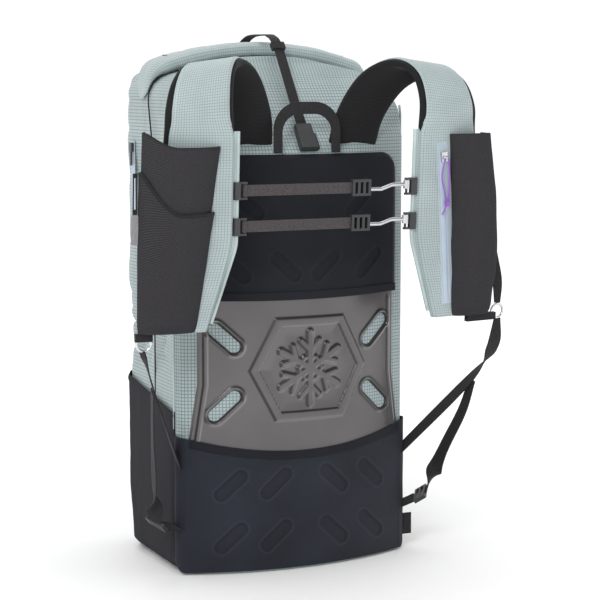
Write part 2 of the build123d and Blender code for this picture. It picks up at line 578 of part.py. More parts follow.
def sternum(level, drop):
    """Webbing with its eye, buckle, and link with a half hook open at the back."""
    left = clip(drop)
    keep(f"left_{level}_clip", left)
    keep(f"right_{level}_clip", mirror(left, about=Plane.YZ))
    plane, span = arm_plane(drop)
    eye_in = PIN_RADIUS + 0.1
    eye_out = eye_in + EYE_WALL
    web = rod(plane, (0, 0, 0), eye_out, WEB_HEIGHT)
    web += block(plane, (0, BUCKLE_START), (-WEB_HEIGHT / 2, WEB_HEIGHT / 2),
                 (-WEB_THICKNESS / 2, WEB_THICKNESS / 2))
    web -= rod(plane, (0, 0, 0), eye_in, WEB_HEIGHT + 2)
    keep(f"{level}_sternum_web", web)
    end = BUCKLE_START + BUCKLE_LENGTH
    high = BUCKLE_HEIGHT / 2
    deep = BUCKLE_DEPTH / 2
    bar = BUCKLE_LENGTH / 7
    buckle = block(plane, (BUCKLE_START, end), (-high, high), (-deep, deep))
    for k in (1, 3, 5):
        start = BUCKLE_START + k * bar
        buckle -= block(plane, (start, start + bar), (3 - high, high - 3), (-deep - 1, deep + 1))
    keep(f"{level}_sternum_buckle", buckle)
    stations_x = (end, end + (span - end) * 0.3, end + (span - end) * 0.6, span - HOOK_WALL)
    rise = (-LINK_RISE, -LINK_RISE, LINK_RISE, LINK_RISE)
    line = [plane.from_local_coords((x, y, 0)) for x, y in zip(stations_x, rise)]
    path = FilletPolyline(*line, radius=8)
    link = sweep(Plane(origin=path @ 0, z_dir=path % 0) * Circle(LINK_RADIUS), path)
    hook_in = PIN_RADIUS + FIT + 0.1
    hook = rod(plane, (span, LINK_RISE, 0), hook_in + HOOK_WALL, HOOK_HEIGHT)
    hook -= block(plane, (span - 20, span + 20), (-20, 20), (-20, 0))
    link += hook
    link -= rod(plane, (span, 0, 0), hook_in, 4 * HOOK_HEIGHT)
    keep(f"{level}_sternum_link", link)


for level, drop in zip(("upper", "lower"), CLIP_DROPS):
    sternum(level, drop)


# ---------------------------------------------------------------- rings and lower webbing
def ribbon(edges, thickness):
    """Webbing through pairs of edge points, with its thickness on both sides of them."""
    rows = [(Vector(*a), Vector(*b)) for a, b in edges]
    middles = [(a + b) / 2 for a, b in rows]
    made = []
    for k, (a, b) in enumerate(rows):
        along = middles[min(k + 1, len(rows) - 1)] - middles[max(k - 1, 0)]
        made.append((a, b, along.cross(b - a).normalized()))
    return slab(made, (0, 1), (-thickness / 2, thickness / 2))


def web(middles, widths, across):
    """Webbing along a middle line, with its width and the direction of its width at each point."""
    pairs = []
    for middle, width, direction in zip(middles, widths, across):
        half = Vector(*direction).normalized() * (width / 2)
        centre = Vector(*middle)
        pairs.append((centre - half, centre + half))
    return ribbon(pairs, WEB_THICKNESS)


def largest(part):
    """The main solid of a trimmed part, without the crumbs that the trim leaves."""
    return part.solids().sort_by(SortBy.VOLUME)[-1]


toe_x = STRAP_WIDTH + OUTER_SWEEP
outer_skin = sack_solid(sleeve_top)
full_web = LOWER_WEB_WIDTH


def lower_rig(side, ring_at, tab_span, lower_line, side_seam, ladder_at, tail_line):
    """Ring at the strap's toe, webbing down to the sack, tail, ladder lock and its anchor."""
    flip = side == "right"

    def keep_side(name, solid):
        keep(f"{side}_{name}", mirror(solid, about=Plane.YZ) if flip else solid)

    ring_plane = Plane(origin=STRAP.from_local_coords((*ring_at, 0)),
                       x_dir=STRAP.x_dir, z_dir=STRAP.z_dir)
    ring_room = ring_plane * Torus(RING_RADIUS, RING_WIRE + 0.1)
    keep_side("strap_ring", ring_plane * Torus(RING_RADIUS, RING_WIRE))
    ring_tab = block(STRAP, tab_span, (-STRAP_DROP - RING_TAB, -STRAP_DROP),
                     (-2 * RING_WIRE, 2 * RING_WIRE))
    ring_tab = largest(ring_tab - ring_room - pad)
    keep_side("ring_tab", ring_tab)
    ring_foot = ring_plane.from_local_coords((1.5, -RING_RADIUS, 0))
    hanging_points = [ring_foot + Vector(*point) for point in lower_line]
    side_end = Vector(SACK_HALF_WIDTH - SEWN, *side_seam)
    middles = (ring_foot, *hanging_points, side_end)
    across = ((0.95, 0.1, 0.15), (0.9, 0.1, 0.42), (0.6, 0, 0.8), (0.6, 0, 0.8))
    lower_web = web(middles, (RING_RADIUS, full_web, full_web, full_web), across)
    lower_web = largest(lower_web - ring_room - ring_tab - outer_skin)
    keep_side("lower_web", lower_web)
    frame = Plane(origin=(SACK_HALF_WIDTH + ladder_at[0], *ladder_at[1:]), x_dir=(0.55, -0.62, 0.55), z_dir=(0.62, -0.1, -0.73))
    half_w, half_h, half_d = LADDER_WIDTH / 2, LADDER_HEIGHT / 2, LADDER_DEPTH / 2
    ladder = block(frame, (-half_h, half_h), (-half_w, half_w), (-half_d, half_d))
    room = (full_web + 1.0) / 2
    for x0 in (-LADDER_BAR - LADDER_GAP, LADDER_BAR):
        ladder -= block(frame, (x0, x0 + LADDER_GAP), (-room, room), (-LADDER_DEPTH, LADDER_DEPTH))
    keep_side("ladder_lock", ladder)
    ladder_top = frame.from_local_coords((half_h, 0, 0))
    ladder_foot = frame.from_local_coords((-half_h, 0, 0))
    across = ((0.2, 1, 0.3), (0.1, 1, 0.3), (0, 1, 0.3), frame.y_dir)
    tail = [ring_foot + Vector(*point) for point in tail_line]
    bend = ladder_top + (tail[-1] - ladder_top) * TAIL_BEND + Vector(*TAIL_SAG)
    adjust_web = web((*tail, bend, ladder_top), (full_web,) * 4, across)
    keep_side("adjust_web", largest(adjust_web - ladder - lower_web))
    anchor_end = Vector(SACK_HALF_WIDTH - SEWN, *ANCHOR_SEAM)
    anchor = web((ladder_foot, anchor_end), (full_web,) * 2, (frame.y_dir,) * 2)
    keep_side("anchor_web", largest(anchor - outer_skin - ladder))


lower_rig("left", (toe_x + RING_REACH, -STRAP_DROP + 1.0),
          (STRAP_WIDTH, toe_x + RING_REACH - RING_RADIUS + 3 * RING_WIRE),
          ((-7.3, -1.7, -34.8), (-23.3, 14.3, -70.8)), (-84, 126), (21, -99, 70),
          ((-27.3, 13.3, -77.8), (-37.3, 19.3, -116.8)))
lower_rig("right", (toe_x - 1.0, -STRAP_DROP - RING_RADIUS - RING_WIRE - 1.5),
          (toe_x - 11.0, toe_x + 9.0),
          ((-6.9, -2.3, -23.2), (-23.9, 16.7, -59.2)), (-84, 133), (33, -100, 69),
          ((-14.9, 4.7, -49.2), (-20.9, 21.7, -105.2)))

ring_web = web([STRAP.from_local_coords(point) for point in RING_WEB], (8.0, 13.0, 14.0, 9.0),
               (STRAP.x_dir,) * 4)
left_ring = Plane(origin=STRAP.from_local_coords((toe_x + RING_REACH, 1.0 - STRAP_DROP, 0)),
                  x_dir=STRAP.x_dir, z_dir=STRAP.z_dir) * Torus(RING_RADIUS, RING_WIRE + 0.1)
keep("left_ring_web", largest(ring_web - bottle_outer - pad - left_ring))

tag = Pos(SACK_HALF_WIDTH + sleeve_top + TAG[0] / 2, LOWER_WRAP_Y - 6, 30)
tag *= Box(TAG[0], TAG[2], TAG[1])
keep("side_tag", tag)


# ---------------------------------------------------------------- haul handle and top strap
HANDLE_Y = BACK_CROWN_Y - sleeve_top - HANDLE_GAP - HANDLE_THICKNESS / 2
HANDLE_FOOT_Z = UPPER_TOP_Z + HANDLE_RISE
HANDLE = Plane(origin=(0, HANDLE_Y, HANDLE_FOOT_Z), x_dir=(1, 0, 0), z_dir=(0, -1, 0))
inner_half = HANDLE_HALF - HANDLE_LEG
handle_face = Pos(0, HANDLE_HEIGHT / 2) * Rectangle(2 * HANDLE_HALF, HANDLE_HEIGHT)
handle_face = fillet(handle_face.vertices().sort_by(Axis.Y)[-2:], HANDLE_CORNER)
handle_hole = Pos(0, (HANDLE_HEIGHT - HANDLE_LEG) / 2) * Rectangle(
    2 * inner_half, HANDLE_HEIGHT - HANDLE_LEG)
handle_hole = fillet(handle_hole.vertices().sort_by(Axis.Y)[-2:], HANDLE_CORNER - HANDLE_LEG)
handle = extrude(HANDLE * (handle_face - handle_hole), amount=HANDLE_THICKNESS / 2, both=True)
keep("haul_handle", handle)

crest_run = Vector(0, TOP_CREST[0] - TOP_FOOT[0], TOP_CREST[1] - TOP_FOOT[1])
crest_length = crest_run.length
top_out = Vector(1, 0, 0).cross(crest_run.normalized())
TOP = Plane(origin=(TOP_X, *TOP_FOOT), x_dir=(1, 0, 0), z_dir=top_out)
half_female, deep_female = FEMALE_WIDTH / 2, FEMALE_DEPTH / 2
prong_half = PRONG_WIDTH / 2
female = block(TOP, (-half_female, half_female), (0, FEMALE_LENGTH), (-deep_female, deep_female))
female = fillet(female.edges().filter_by(lambda e: e.length > FEMALE_LENGTH - 1)
                .filter_by(lambda e: abs(e.tangent_at(0).dot(TOP.y_dir)) > 0.99), 2.0)
prongs = []
for side in (-1, 1):
    centre = side * PRONG_SPREAD
    room = prong_half + FIT
    female -= block(TOP, (centre - room, centre + room),
                    (FEMALE_LENGTH - PRONG_LENGTH - 1, FEMALE_LENGTH + 1),
                    (-PRONG_DEPTH / 2 - FIT, PRONG_DEPTH / 2 + FIT))
    prongs.append(block(TOP, (centre - prong_half, centre + prong_half),
                        (FEMALE_LENGTH - PRONG_LENGTH, FEMALE_LENGTH + 2),
                        (-PRONG_DEPTH / 2, PRONG_DEPTH / 2)))
keep("top_buckle_socket", female)
male_low = FEMALE_LENGTH + FIT
male_high = male_low + MALE_LENGTH
half_male = MALE_WIDTH / 2
band_half = WEB_HEIGHT / 2
band_low = -PRONG_DEPTH / 2 - FIT - WEB_THICKNESS
male = block(TOP, (-half_male, half_male), (male_low, male_high),
             (band_low - FIT - 1.6, PRONG_DEPTH / 2 + 1))
for prong in prongs:
    male += prong
male -= block(TOP, (-band_half - FIT, band_half + FIT), (male_low - 1, male_high + 1),
              (band_low - FIT, -PRONG_DEPTH / 2))
keep("top_buckle_plug", male)
anchor = block(TOP, (-band_half, band_half), (2, FEMALE_LENGTH - 4), (-24, -deep_female))
anchor = anchor - sack_outer - upper_sleeve
keep("top_buckle_anchor", anchor.solids().sort_by(SortBy.VOLUME)[-1])

start = TOP.from_local_coords((0, male_low + 2, band_low + WEB_THICKNESS / 2))
crest = TOP.from_local_coords((0, crest_length, band_low + WEB_THICKNESS / 2))
over = [Vector(0, start.Y, start.Z), Vector(0, crest.Y, crest.Z)]
for y, rise in STRAP_OVER:
    over.append(Vector(0, y, TOP_CROWN_Z + rise))
band_rows = []
for k, point in enumerate(over):
    before, after = over[max(k - 1, 0)], over[min(k + 1, len(over) - 1)]
    normal = Vector(1, 0, 0).cross((after - before).normalized())
    shift = Vector(TOP_X, 0, 0)
    band_rows.append((point + shift - Vector(band_half, 0, 0),
                      point + shift + Vector(band_half, 0, 0), normal))
top_strap = slab(band_rows, (0, 1), (-WEB_THICKNESS / 2, WEB_THICKNESS / 2))
top_strap = top_strap - sack_outer - roll - front_pocket
top_strap = top_strap.solids().sort_by(SortBy.VOLUME)[-1]
keep("top_strap", top_strap)
KEEPER = Plane(origin=(TOP_X, crest.Y, crest.Z), x_dir=(1, 0, 0), z_dir=band_rows[1][2])
keeper = block(KEEPER, (-band_half - 2, band_half + 2), (-5, 5), (-3.2, 3.2)) - top_strap
keeper = keeper - sack_outer
keep("top_strap_keeper", keeper.solids().sort_by(SortBy.VOLUME)[-1])


# ---------------------------------------------------------------- pull tab on the -X strap
pull_top = STRAP.from_local_coords((STRAP_WIDTH + 33.0, -46.0, 2.0))
PULL = Plane(origin=pull_top, x_dir=STRAP.x_dir, z_dir=STRAP.z_dir)
pull_loop = block(PULL, (-2.5, 2.5), (-46, 0), (-1, 1))
pull_loop -= block(PULL, (-1.2, 1.2), (-40, -5), (-2, 2))
keep("right_pull_loop", mirror(pull_loop, about=Plane.YZ))
pull_tab = block(PULL, (-PULL_TAB[0] / 2, PULL_TAB[0] / 2), (-46 - PULL_TAB[1], -46),
                 (-PULL_TAB[2] / 2, PULL_TAB[2] / 2))
pull_tab = fillet(pull_tab.edges().filter_by(
    lambda e: abs(abs(e.tangent_at(0).dot(STRAP.z_dir)) - 1) < 1e-6), 2.5)
keep("right_pull_tab", mirror(pull_tab, about=Plane.YZ))
print(len(written), "nodes")
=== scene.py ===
import math
import bmesh
import bpy
import numpy as np
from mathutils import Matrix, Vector


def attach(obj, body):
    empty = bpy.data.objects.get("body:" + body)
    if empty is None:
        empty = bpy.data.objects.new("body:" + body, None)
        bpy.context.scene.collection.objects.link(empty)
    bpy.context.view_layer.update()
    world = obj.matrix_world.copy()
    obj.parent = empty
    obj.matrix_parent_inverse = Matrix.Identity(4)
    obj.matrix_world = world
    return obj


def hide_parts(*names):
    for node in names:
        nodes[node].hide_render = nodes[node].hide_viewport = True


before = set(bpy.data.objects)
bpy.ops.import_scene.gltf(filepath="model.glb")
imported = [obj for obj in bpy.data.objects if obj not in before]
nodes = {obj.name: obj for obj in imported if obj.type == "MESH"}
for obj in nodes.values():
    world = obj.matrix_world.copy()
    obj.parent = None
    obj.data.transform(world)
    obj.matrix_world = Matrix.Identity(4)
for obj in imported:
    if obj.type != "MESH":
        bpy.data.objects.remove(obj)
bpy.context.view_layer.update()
MM = 0.001

# Touring ski pack. Shapes are worked out in millimetres on the same values as the CAD part, and
# the mesh takes them in metres. "left" is +X, the wearer's left.

HALF_WIDTH = 150.0
BARREL_RADIUS = 354.6          # back panel: an upright barrel
BARREL_Y = 233.6
BACK_CORNER = 11.0
FACE_RADIUS = 1254.5           # gently crowned front face
FACE_Y = -1123.5
FRONT_Y = 131.0
FRONT_CORNER = 52.0
BASE_CORNER = 18.0
TOE_CORNER = 62.0
FLANK_TURN = math.radians(65.0)  # lower front corners are drawn in
FLANK_REACH = 158.0
FLANK_RISE = 0.04
ARCH_RADIUS = 395.1            # arched top
ARCH_Z = 220.9
SHOULDER = (112.0, 560.0, 38.0)  # each corner: its centre across, its centre up, its radius
SHOULDER_END = 0.949           # rise of the corner's end on the arch, as a share of its radius
BROW = (91.0, 576.0, 40.0)
LEAN_Z = 500.0
LEAN_Y = -121.0
LEAN_RUN = 97.0 / 112.0
LEAN_SPREAD = 1.323            # how much farther the leaning back goes in y when moved out
TOP_Z = 616.0
BACK_POINTS, CORNER_POINTS = 120, 23  # points on the plan's back arc and on its back corner
LOWER_WRAP_Y = -78.0           # the lower sleeve goes round the back corners up to here
SLIM_WEB, WIDE_WEB, WEB_THICK = 12.7, 20.0, 1.7
SIDES = (("left", False), ("right", True))  # each side, and whether its shapes are mirrored


# ---------------------------------------------------------------- small tools
def ease(t):
    """Smooth step from 0 to 1: t squared times (3 - 2 t), held flat outside."""
    t = np.clip(t, 0.0, 1.0)
    return t * t * (3.0 - 2.0 * t)


def drift(points, size, seed):
    """Soft noise from -1 to 1: hashed values on a cubic lattice of that size, eased between."""
    q = np.asarray(points, float) / np.asarray(size, float)
    cell = np.floor(q).astype(np.int64)
    part = ease(q - cell)
    total = np.zeros(q.shape[:-1])
    for corner in range(8):
        step = np.array([corner & 1, corner >> 1 & 1, corner >> 2 & 1])
        n = cell + step
        key = n[..., 0] * 73856093 ^ n[..., 1] * 19349663 ^ n[..., 2] * 83492791 ^ seed * 7919
        key = (key ^ (key >> 13)) * 1274126177
        value = ((key ^ (key >> 16)) & 0xFFFF) / 32767.5 - 1.0
        total += value * np.prod(np.where(step == 1, part, 1.0 - part), axis=-1)
    return total


def creases(points, size, seed):
    """Folds from 0 to 1: one minus the size of the drift, cubed, so it peaks along thin lines."""
    return (1.0 - np.abs(drift(points, size, seed))) ** 3


def bell(value, centre, width):
    """A bell curve: 1 at its centre, a little over a third one width away."""
    return np.exp(-((value - centre) / width) ** 2)


def rounded(value, power):
    """A power of the size of a sine or cosine, its sign kept, for superellipses."""
    return np.sign(value) * np.abs(value) ** power


def end_taper(count, run, least):
    """Scales for a tube's rings: smaller over that many rings towards both ends."""
    away = np.minimum(np.arange(count), np.arange(count)[::-1])
    return np.sqrt(np.clip(away / run, least, 1))


def spline(values, count):
    """Rows carried smoothly through the given rows: Catmull-Rom cubics between neighbours."""
    v = np.asarray(values, float)
    ends = np.vstack([2 * v[:1] - v[1:2], v, 2 * v[-1:] - v[-2:-1]])
    t = np.linspace(0, len(v) - 1, count)
    k = np.minimum(t.astype(int), len(v) - 2)
    f = (t - k)[:, None]
    p0, p1, p2, p3 = ends[k], ends[k + 1], ends[k + 2], ends[k + 3]
    m1, m2 = (p2 - p0) / 2, (p3 - p1) / 2
    return ((2 * f ** 3 - 3 * f ** 2 + 1) * p1 + (f ** 3 - 2 * f ** 2 + f) * m1
            + (3 * f ** 2 - 2 * f ** 3) * p2 + (f ** 3 - f ** 2) * m2)


def unit(v):
    """Vectors scaled to length one."""
    return v / np.maximum(np.linalg.norm(v, axis=-1, keepdims=True), 1e-9)


def normals(points):
    """Grid normals: the cross product of the two central differences at each point."""
    return unit(np.cross(np.gradient(points, axis=0), np.gradient(points, axis=1)))


def relax(points, rounds):
    """Softens a ring grid: each inner point moves half way to the mean of its four neighbours."""
    p = points.copy()
    for _ in range(rounds):
        side = (np.roll(p, 1, 0) + np.roll(p, -1, 0)) / 2
        mean = (side[:, 1:-1] + (p[:, 2:] + p[:, :-2]) / 2) / 2
        p[:, 1:-1] = (p[:, 1:-1] + mean) / 2
    return p


def lengths(points, axis):
    """Mean running length of a grid along one axis."""
    step = np.linalg.norm(np.diff(points, axis=axis), axis=-1)
    return np.concatenate([[0.0], np.cumsum(step.mean(axis=1 - axis))])


def placed(name, data):
    """A new object with its data, in the scene."""
    obj = bpy.data.objects.new(name, data)
    bpy.context.scene.collection.objects.link(obj)
    return obj


def piece(name, points, finish, body="pack", stands_for=(), slot=None, around=False, wall=0.0,
          flip=False, uv=None, closed=False, mirrored=False):
    """A grid of points (mm) made into a mesh piece, with a UV map in metres along both axes."""
    p = np.array(points, float)
    if mirrored:
        p[..., 0] *= -1.0
        flip = not flip
    n, m = p.shape[:2]
    if uv is None:
        ring = np.concatenate([p, p[:1]]) if around else p
        uv = (lengths(ring, 0), lengths(ring, 1))
    i, j = np.meshgrid(np.arange(n if around else n - 1), np.arange(m - 1), indexing="ij")
    i, j = i.ravel(), j.ravel()
    far = (i + 1) % n
    quads = np.stack([i * m + j, far * m + j, far * m + j + 1, i * m + j + 1], 1)
    spots = np.stack([uv[0][i], uv[1][j], uv[0][i + 1], uv[1][j],
                      uv[0][i + 1], uv[1][j + 1], uv[0][i], uv[1][j + 1]], 1).reshape(-1, 4, 2)
    if flip:
        quads, spots = quads[:, ::-1], spots[:, ::-1]
    mesh = bpy.data.meshes.new(name)
    mesh.vertices.add(n * m)
    mesh.vertices.foreach_set("co", (p.reshape(-1) * MM).astype(np.float32))
    mesh.loops.add(quads.size)
    mesh.loops.foreach_set("vertex_index", quads.ravel().astype(np.int32))
    mesh.polygons.add(len(quads))
    mesh.polygons.foreach_set("loop_start", np.arange(0, quads.size, 4, dtype=np.int32))
    mesh.polygons.foreach_set("use_smooth", np.ones(len(quads), bool))
    layer = mesh.uv_layers.new(name="UVMap")
    layer.data.foreach_set("uv", (spots.reshape(-1) * MM).astype(np.float32))
    mesh.update(calc_edges=True)
    mesh.validate()
    work = bmesh.new()
    work.from_mesh(mesh)
    bmesh.ops.remove_doubles(work, verts=work.verts, dist=2e-6)
    bmesh.ops.dissolve_degenerate(work, edges=work.edges, dist=1e-7)
    if closed:
        bmesh.ops.recalc_face_normals(work, faces=work.faces)
    work.to_mesh(mesh)
    work.free()
    mesh.materials.append(finish)
    obj = placed(name, mesh)
    if wall:
        solid = obj.modifiers.new("wall", "SOLIDIFY")
        solid.thickness = wall * MM
        solid.offset = -1.0
        solid.use_even_offset = False
    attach(obj, body)
    if stands_for:
        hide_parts(*stands_for)
    return obj


def mark(obj, values):
    """Stores one value a point as painted light, for a finish to read: below 0 for painted shade in
    grooves, above 0 for painted highlight on ridges.
    """
    line = obj.data.attributes.new("painted_light", "FLOAT", "POINT")
    line.data.foreach_set("value", values.ravel().astype(np.float32))
    return obj


def tube_ends(rings):
    """Closes a tube's two ends: an extra ring half way in and one at the middle, at each end."""
    first = rings[:1].mean(axis=1, keepdims=True)
    last = rings[-1:].mean(axis=1, keepdims=True)
    wide = np.ones_like(rings[:1])
    return np.concatenate([first * wide, (rings[:1] + first) / 2, rings,
                           (rings[-1:] + last) / 2, last * wide])


def carried(path, across, widths, heights, power, count=20):
    """A superellipse carried along a path: width along across, height along the normal."""
    path = np.asarray(path, float)
    along = unit(np.gradient(path, axis=0))
    side = np.asarray(across, float)
    side = unit(side - along * (side * along).sum(1, keepdims=True))
    up = np.cross(side, along)
    turn = np.linspace(0, 2 * np.pi, count, endpoint=False)
    x = rounded(np.cos(turn), 2.0 / power)[None, :, None]
    y = rounded(np.sin(turn), 2.0 / power)[None, :, None]
    w, h = (np.broadcast_to(np.asarray(size, float), (len(path),))[:, None, None] / 2
            for size in (widths, heights))
    return tube_ends(path[:, None] + side[:, None] * x * w + up[:, None] * y * h)


def tube(name, rings, finish, **facts):
    """A piece from rings that run along it."""
    return piece(name, rings.transpose(1, 0, 2), finish, around=True, closed=True, **facts)


def ribbon(name, points, across, widths, finish, count=90, **facts):
    """Flat webbing: a thin superellipse with square shoulders along a smooth line."""
    widths = np.broadcast_to(np.asarray(widths, float), (len(points),))
    rows = spline(np.column_stack([points, across, widths]), count)
    rings = carried(rows[:, :3], rows[:, 3:6], rows[:, 6], WEB_THICK, power=7.0, count=28)
    return tube(name, rings, finish, **facts)


def cordline(name, points, radius, finish, **facts):
    """A round piping: a circle carried along a smooth line."""
    rows = spline(points, 80)
    along = unit(np.gradient(rows, axis=0))
    guide = np.where(np.abs(along[:, 2:3]) > 0.8, [[1.0, 0.0, 0.0]], [[0.0, 0.0, 1.0]])
    rings = carried(rows, np.cross(along, guide), 2 * radius, 2 * radius, power=2.0, count=12)
    return tube(name, rings, finish, **facts)


# ---------------------------------------------------------------- finishes
class Nodes:
    """Short ways to add shader nodes to a tree."""

    def __init__(self, tree):
        self.tree = tree

    def feed(self, socket, value):
        """Gives an input its value: a link from another node, or a fixed one."""
        if isinstance(value, bpy.types.NodeSocket):
            self.tree.links.new(value, socket)
        else:
            socket.default_value = value

    def add(self, kind, settings=None, **inputs):
        """A node whose inputs go by name, or by number as i0, i1 and i2."""
        node = self.tree.nodes.new(kind)
        for key, value in (settings or {}).items():
            setattr(node, key, value)
        for key, value in inputs.items():
            numbered = key[0] == "i" and key[1:].isdigit()
            self.feed(node.inputs[int(key[1:]) if numbered else key.replace("_", " ")], value)
        return node

    def math(self, kind, a, b=0.0, c=0.0):
        """The result of a math node."""
        return self.add("ShaderNodeMath", {"operation": kind}, i0=a, i1=b, i2=c).outputs[0]

    def parts(self, kind):
        """The three parts of a kind of coordinates. The UV map is in metres."""
        source = self.add("ShaderNodeTexCoord").outputs[kind]
        return self.add("ShaderNodeSeparateXYZ", Vector=source).outputs[:3]

    def span(self, value, low, high, first, last):
        """A value carried from one range to another and held at its ends."""
        return self.add("ShaderNodeMapRange", Value=value, From_Min=low, From_Max=high,
                        To_Min=first, To_Max=last).outputs[0]


class Finish(Nodes):
    """A principled material and the patterns its colour and bump are made of."""

    def __init__(self, name, colour, rough, metal=0.0, sheen=0.0, coat=0.0, spec=0.5):
        self.material = bpy.data.materials.new(name)
        self.material.use_nodes = True
        super().__init__(self.material.node_tree)
        self.main = self.tree.nodes["Principled BSDF"].inputs
        for key, value in (("Base Color", (*colour, 1.0)), ("Roughness", rough),
                           ("Metallic", metal), ("Sheen Weight", sheen),
                           ("Coat Weight", coat), ("Specular IOR Level", spec)):
            self.main[key].default_value = value
        self.body = self.add("ShaderNodeTexCoord").outputs["Object"]

    def noise(self, scale, detail=2.0):
        """Noise at so many features a metre."""
        return self.add("ShaderNodeTexNoise", Vector=self.body, Scale=scale,
                        Detail=detail).outputs["Fac"]

    def tint(self, fac, dark, light, low=0.3, high=0.7):
        """A two-colour ramp read by a value."""
        node = self.add("ShaderNodeValToRGB", Fac=fac)
        for stop, place, colour in ((0, low, dark), (1, high, light)):
            node.color_ramp.elements[stop].position = place
            node.color_ramp.elements[stop].color = (*colour, 1.0)
        return node.outputs["Color"]

    def blend(self, fac, under, over):
        """One colour over another, by a value."""
        node = self.add("ShaderNodeMix", {"data_type": "RGBA"}, Factor=fac)
        for socket, value in ((node.inputs[6], under), (node.inputs[7], over)):
            self.feed(socket, (*value, 1.0) if isinstance(value, tuple) else value)
        return node.outputs[2]

    def paint_light_by_mark(self, base, dark, bright):
        """A colour with painted shade in a piece's marked grooves and a painted highlight on its
        ridges.
        """
        painted_light = self.add("ShaderNodeAttribute", {"attribute_name": "painted_light"}).outputs["Fac"]
        # Painted shade where the mark is below 0, painted highlight where it is above 0.
        groove = self.math("MAXIMUM", self.math("MULTIPLY", painted_light, -1.0), 0.0)
        painted_highlight_share = self.math("MAXIMUM", painted_light, 0.0)
        return self.blend(painted_highlight_share, self.blend(groove, base, dark), bright)

    def wave(self, value, pitch):
        """A sine that repeats at a pitch."""
        return self.math("SINE", self.math("MULTIPLY", value, 2 * math.pi / pitch))

    def stripes(self, value, pitch, share):
        """Thin lines at a pitch: 1 on the line, falling off over its edge."""
        phase = self.math("FRACT", self.math("MULTIPLY", value, 1.0 / pitch))
        away = self.math("ABSOLUTE", self.math("SUBTRACT", phase, 0.5))
        edge = self.math("MULTIPLY", self.math("SUBTRACT", away, 0.5 - share), 1.0 / share)
        return self.math("SMOOTH_MIN", edge, 1.0, 0.3)

    def done(self, colour, height, strength, distance, rough=None):
        """The material, with its colour, its bump and, where given, its roughness."""
        bump = self.add("ShaderNodeBump", Height=height, Strength=strength, Distance=distance)
        self.feed(self.main["Base Color"], colour)
        self.feed(self.main["Normal"], bump.outputs["Normal"])
        if rough is not None:
            self.feed(self.main["Roughness"], rough)
        return self.material


def scaled(colour, by, plus=0.0):
    """A colour multiplied by a factor, kept within 1."""
    return tuple(min(c * by + plus, 1.0) for c in colour)


def ripstop(name, ground, thread, pitch, depth):
    """Light laminate with a dark thread grid, faint crinkle and a slight sheen."""
    look = Finish(name, ground, 0.52, sheen=0.15)
    grid = look.math("MAXIMUM", *(look.stripes(p, pitch, 0.17) for p in look.parts("UV")[:2]))
    lines = look.math("MULTIPLY", look.math("MAXIMUM", grid, 0.0), depth)
    patch = look.noise(26.0, 4.0)
    base = look.tint(patch, scaled(ground, 0.90), scaled(ground, 1.06))
    crinkle = look.math("MULTIPLY", look.noise(150.0, 3.0), 0.5)
    height = look.math("ADD", crinkle, look.math("MULTIPLY", lines, 0.25))
    rough = look.math("MULTIPLY_ADD", patch, 0.16, 0.44)
    return look.done(look.blend(lines, base, thread), height, 0.35, 0.0012, rough)


def knit_mesh(name, yarn, fleck):
    """Stretch mesh: a grid of raised cells with open corners and paler flecks, hardly glossy."""
    look = Finish(name, yarn, 0.9, spec=0.06)
    waves = (look.wave(part, 0.0026) for part in look.parts("UV")[:2])
    cells = look.math("MULTIPLY_ADD", look.math("MULTIPLY", *waves), 0.5, 0.5)
    fuzz = look.noise(900.0)
    fibre = look.math("MULTIPLY_ADD", fuzz, 0.45, look.math("MULTIPLY", cells, 0.6))
    height = look.math("ADD", cells, look.math("MULTIPLY", fuzz, 0.4))
    return look.done(look.tint(fibre, yarn, fleck, 0.25, 0.95), height, 0.5, 0.0007)


def stretch_knit(name, yarn, light):
    """Smooth, dense stretch knit with a fine rib, with painted shade where it sinks in and a
    painted highlight where it is marked as a ridge.
    """
    look = Finish(name, yarn, 0.78, sheen=0.05, spec=0.25)
    rib = look.wave(look.parts("UV")[0], 0.0011)
    fuzz = look.noise(1200.0)
    cloud = look.math("MULTIPLY", look.noise(14.0, 3.0), 0.5)
    base = look.tint(look.math("MULTIPLY_ADD", fuzz, 0.5, cloud), yarn, light, 0.35, 0.75)
    # Painted shade and painted highlight from the piece's marks.
    with_painted_light = look.paint_light_by_mark(base, scaled(yarn, 0.45), scaled(light, 1.8))
    return look.done(with_painted_light, look.math("MULTIPLY_ADD", rib, 0.3, fuzz), 0.3, 0.0004)


def spacer_mesh(name, yarn, hole):
    """Padding cover: round holes in rows over a soft knit."""
    look = Finish(name, yarn, 0.9, sheen=0.08, spec=0.2)
    cells = look.add("ShaderNodeTexVoronoi", Vector=look.body, Scale=700.0, Randomness=0.2)
    holes = cells.outputs["Distance"]
    return look.done(look.tint(holes, yarn, hole, 0.25, 0.6),
                     look.math("SUBTRACT", 1.0, holes), 0.15, 0.0002)


def webbing(name, yarn, light, kind="UV"):
    """Flat woven strap: ribs across, a zigzag along, and a light edge on the ribs from wear."""
    look = Finish(name, yarn, 0.75, sheen=0.03, spec=0.18)
    first, second, third = look.parts(kind)
    run, over = (second, first) if kind == "UV" else (first, third)
    zig = look.math("PINGPONG", look.math("MULTIPLY", over, 1.0 / 0.0032), 1.0)
    rib = look.wave(look.math("MULTIPLY_ADD", zig, 0.0009, run), 0.0016)
    height = look.math("MULTIPLY_ADD", rib, 0.22, look.noise(700.0))
    return look.done(look.tint(height, yarn, light, 0.3, 0.85), height, 0.5, 0.0006)


def moulded(name, colour, rough, metal=0.0, grain=1400.0, depth=0.0002):
    """Moulded or cast surface: fine grain, faint clouding, and slightly uneven gloss."""
    look = Finish(name, colour, rough, metal=metal)
    cloud = look.noise(18.0, 4.0)
    base = look.tint(cloud, scaled(colour, 0.86), scaled(colour, 1.18, 0.004))
    gloss = look.math("MULTIPLY_ADD", cloud, 0.14, rough - 0.07)
    return look.done(base, look.noise(grain), 0.35, depth, gloss)


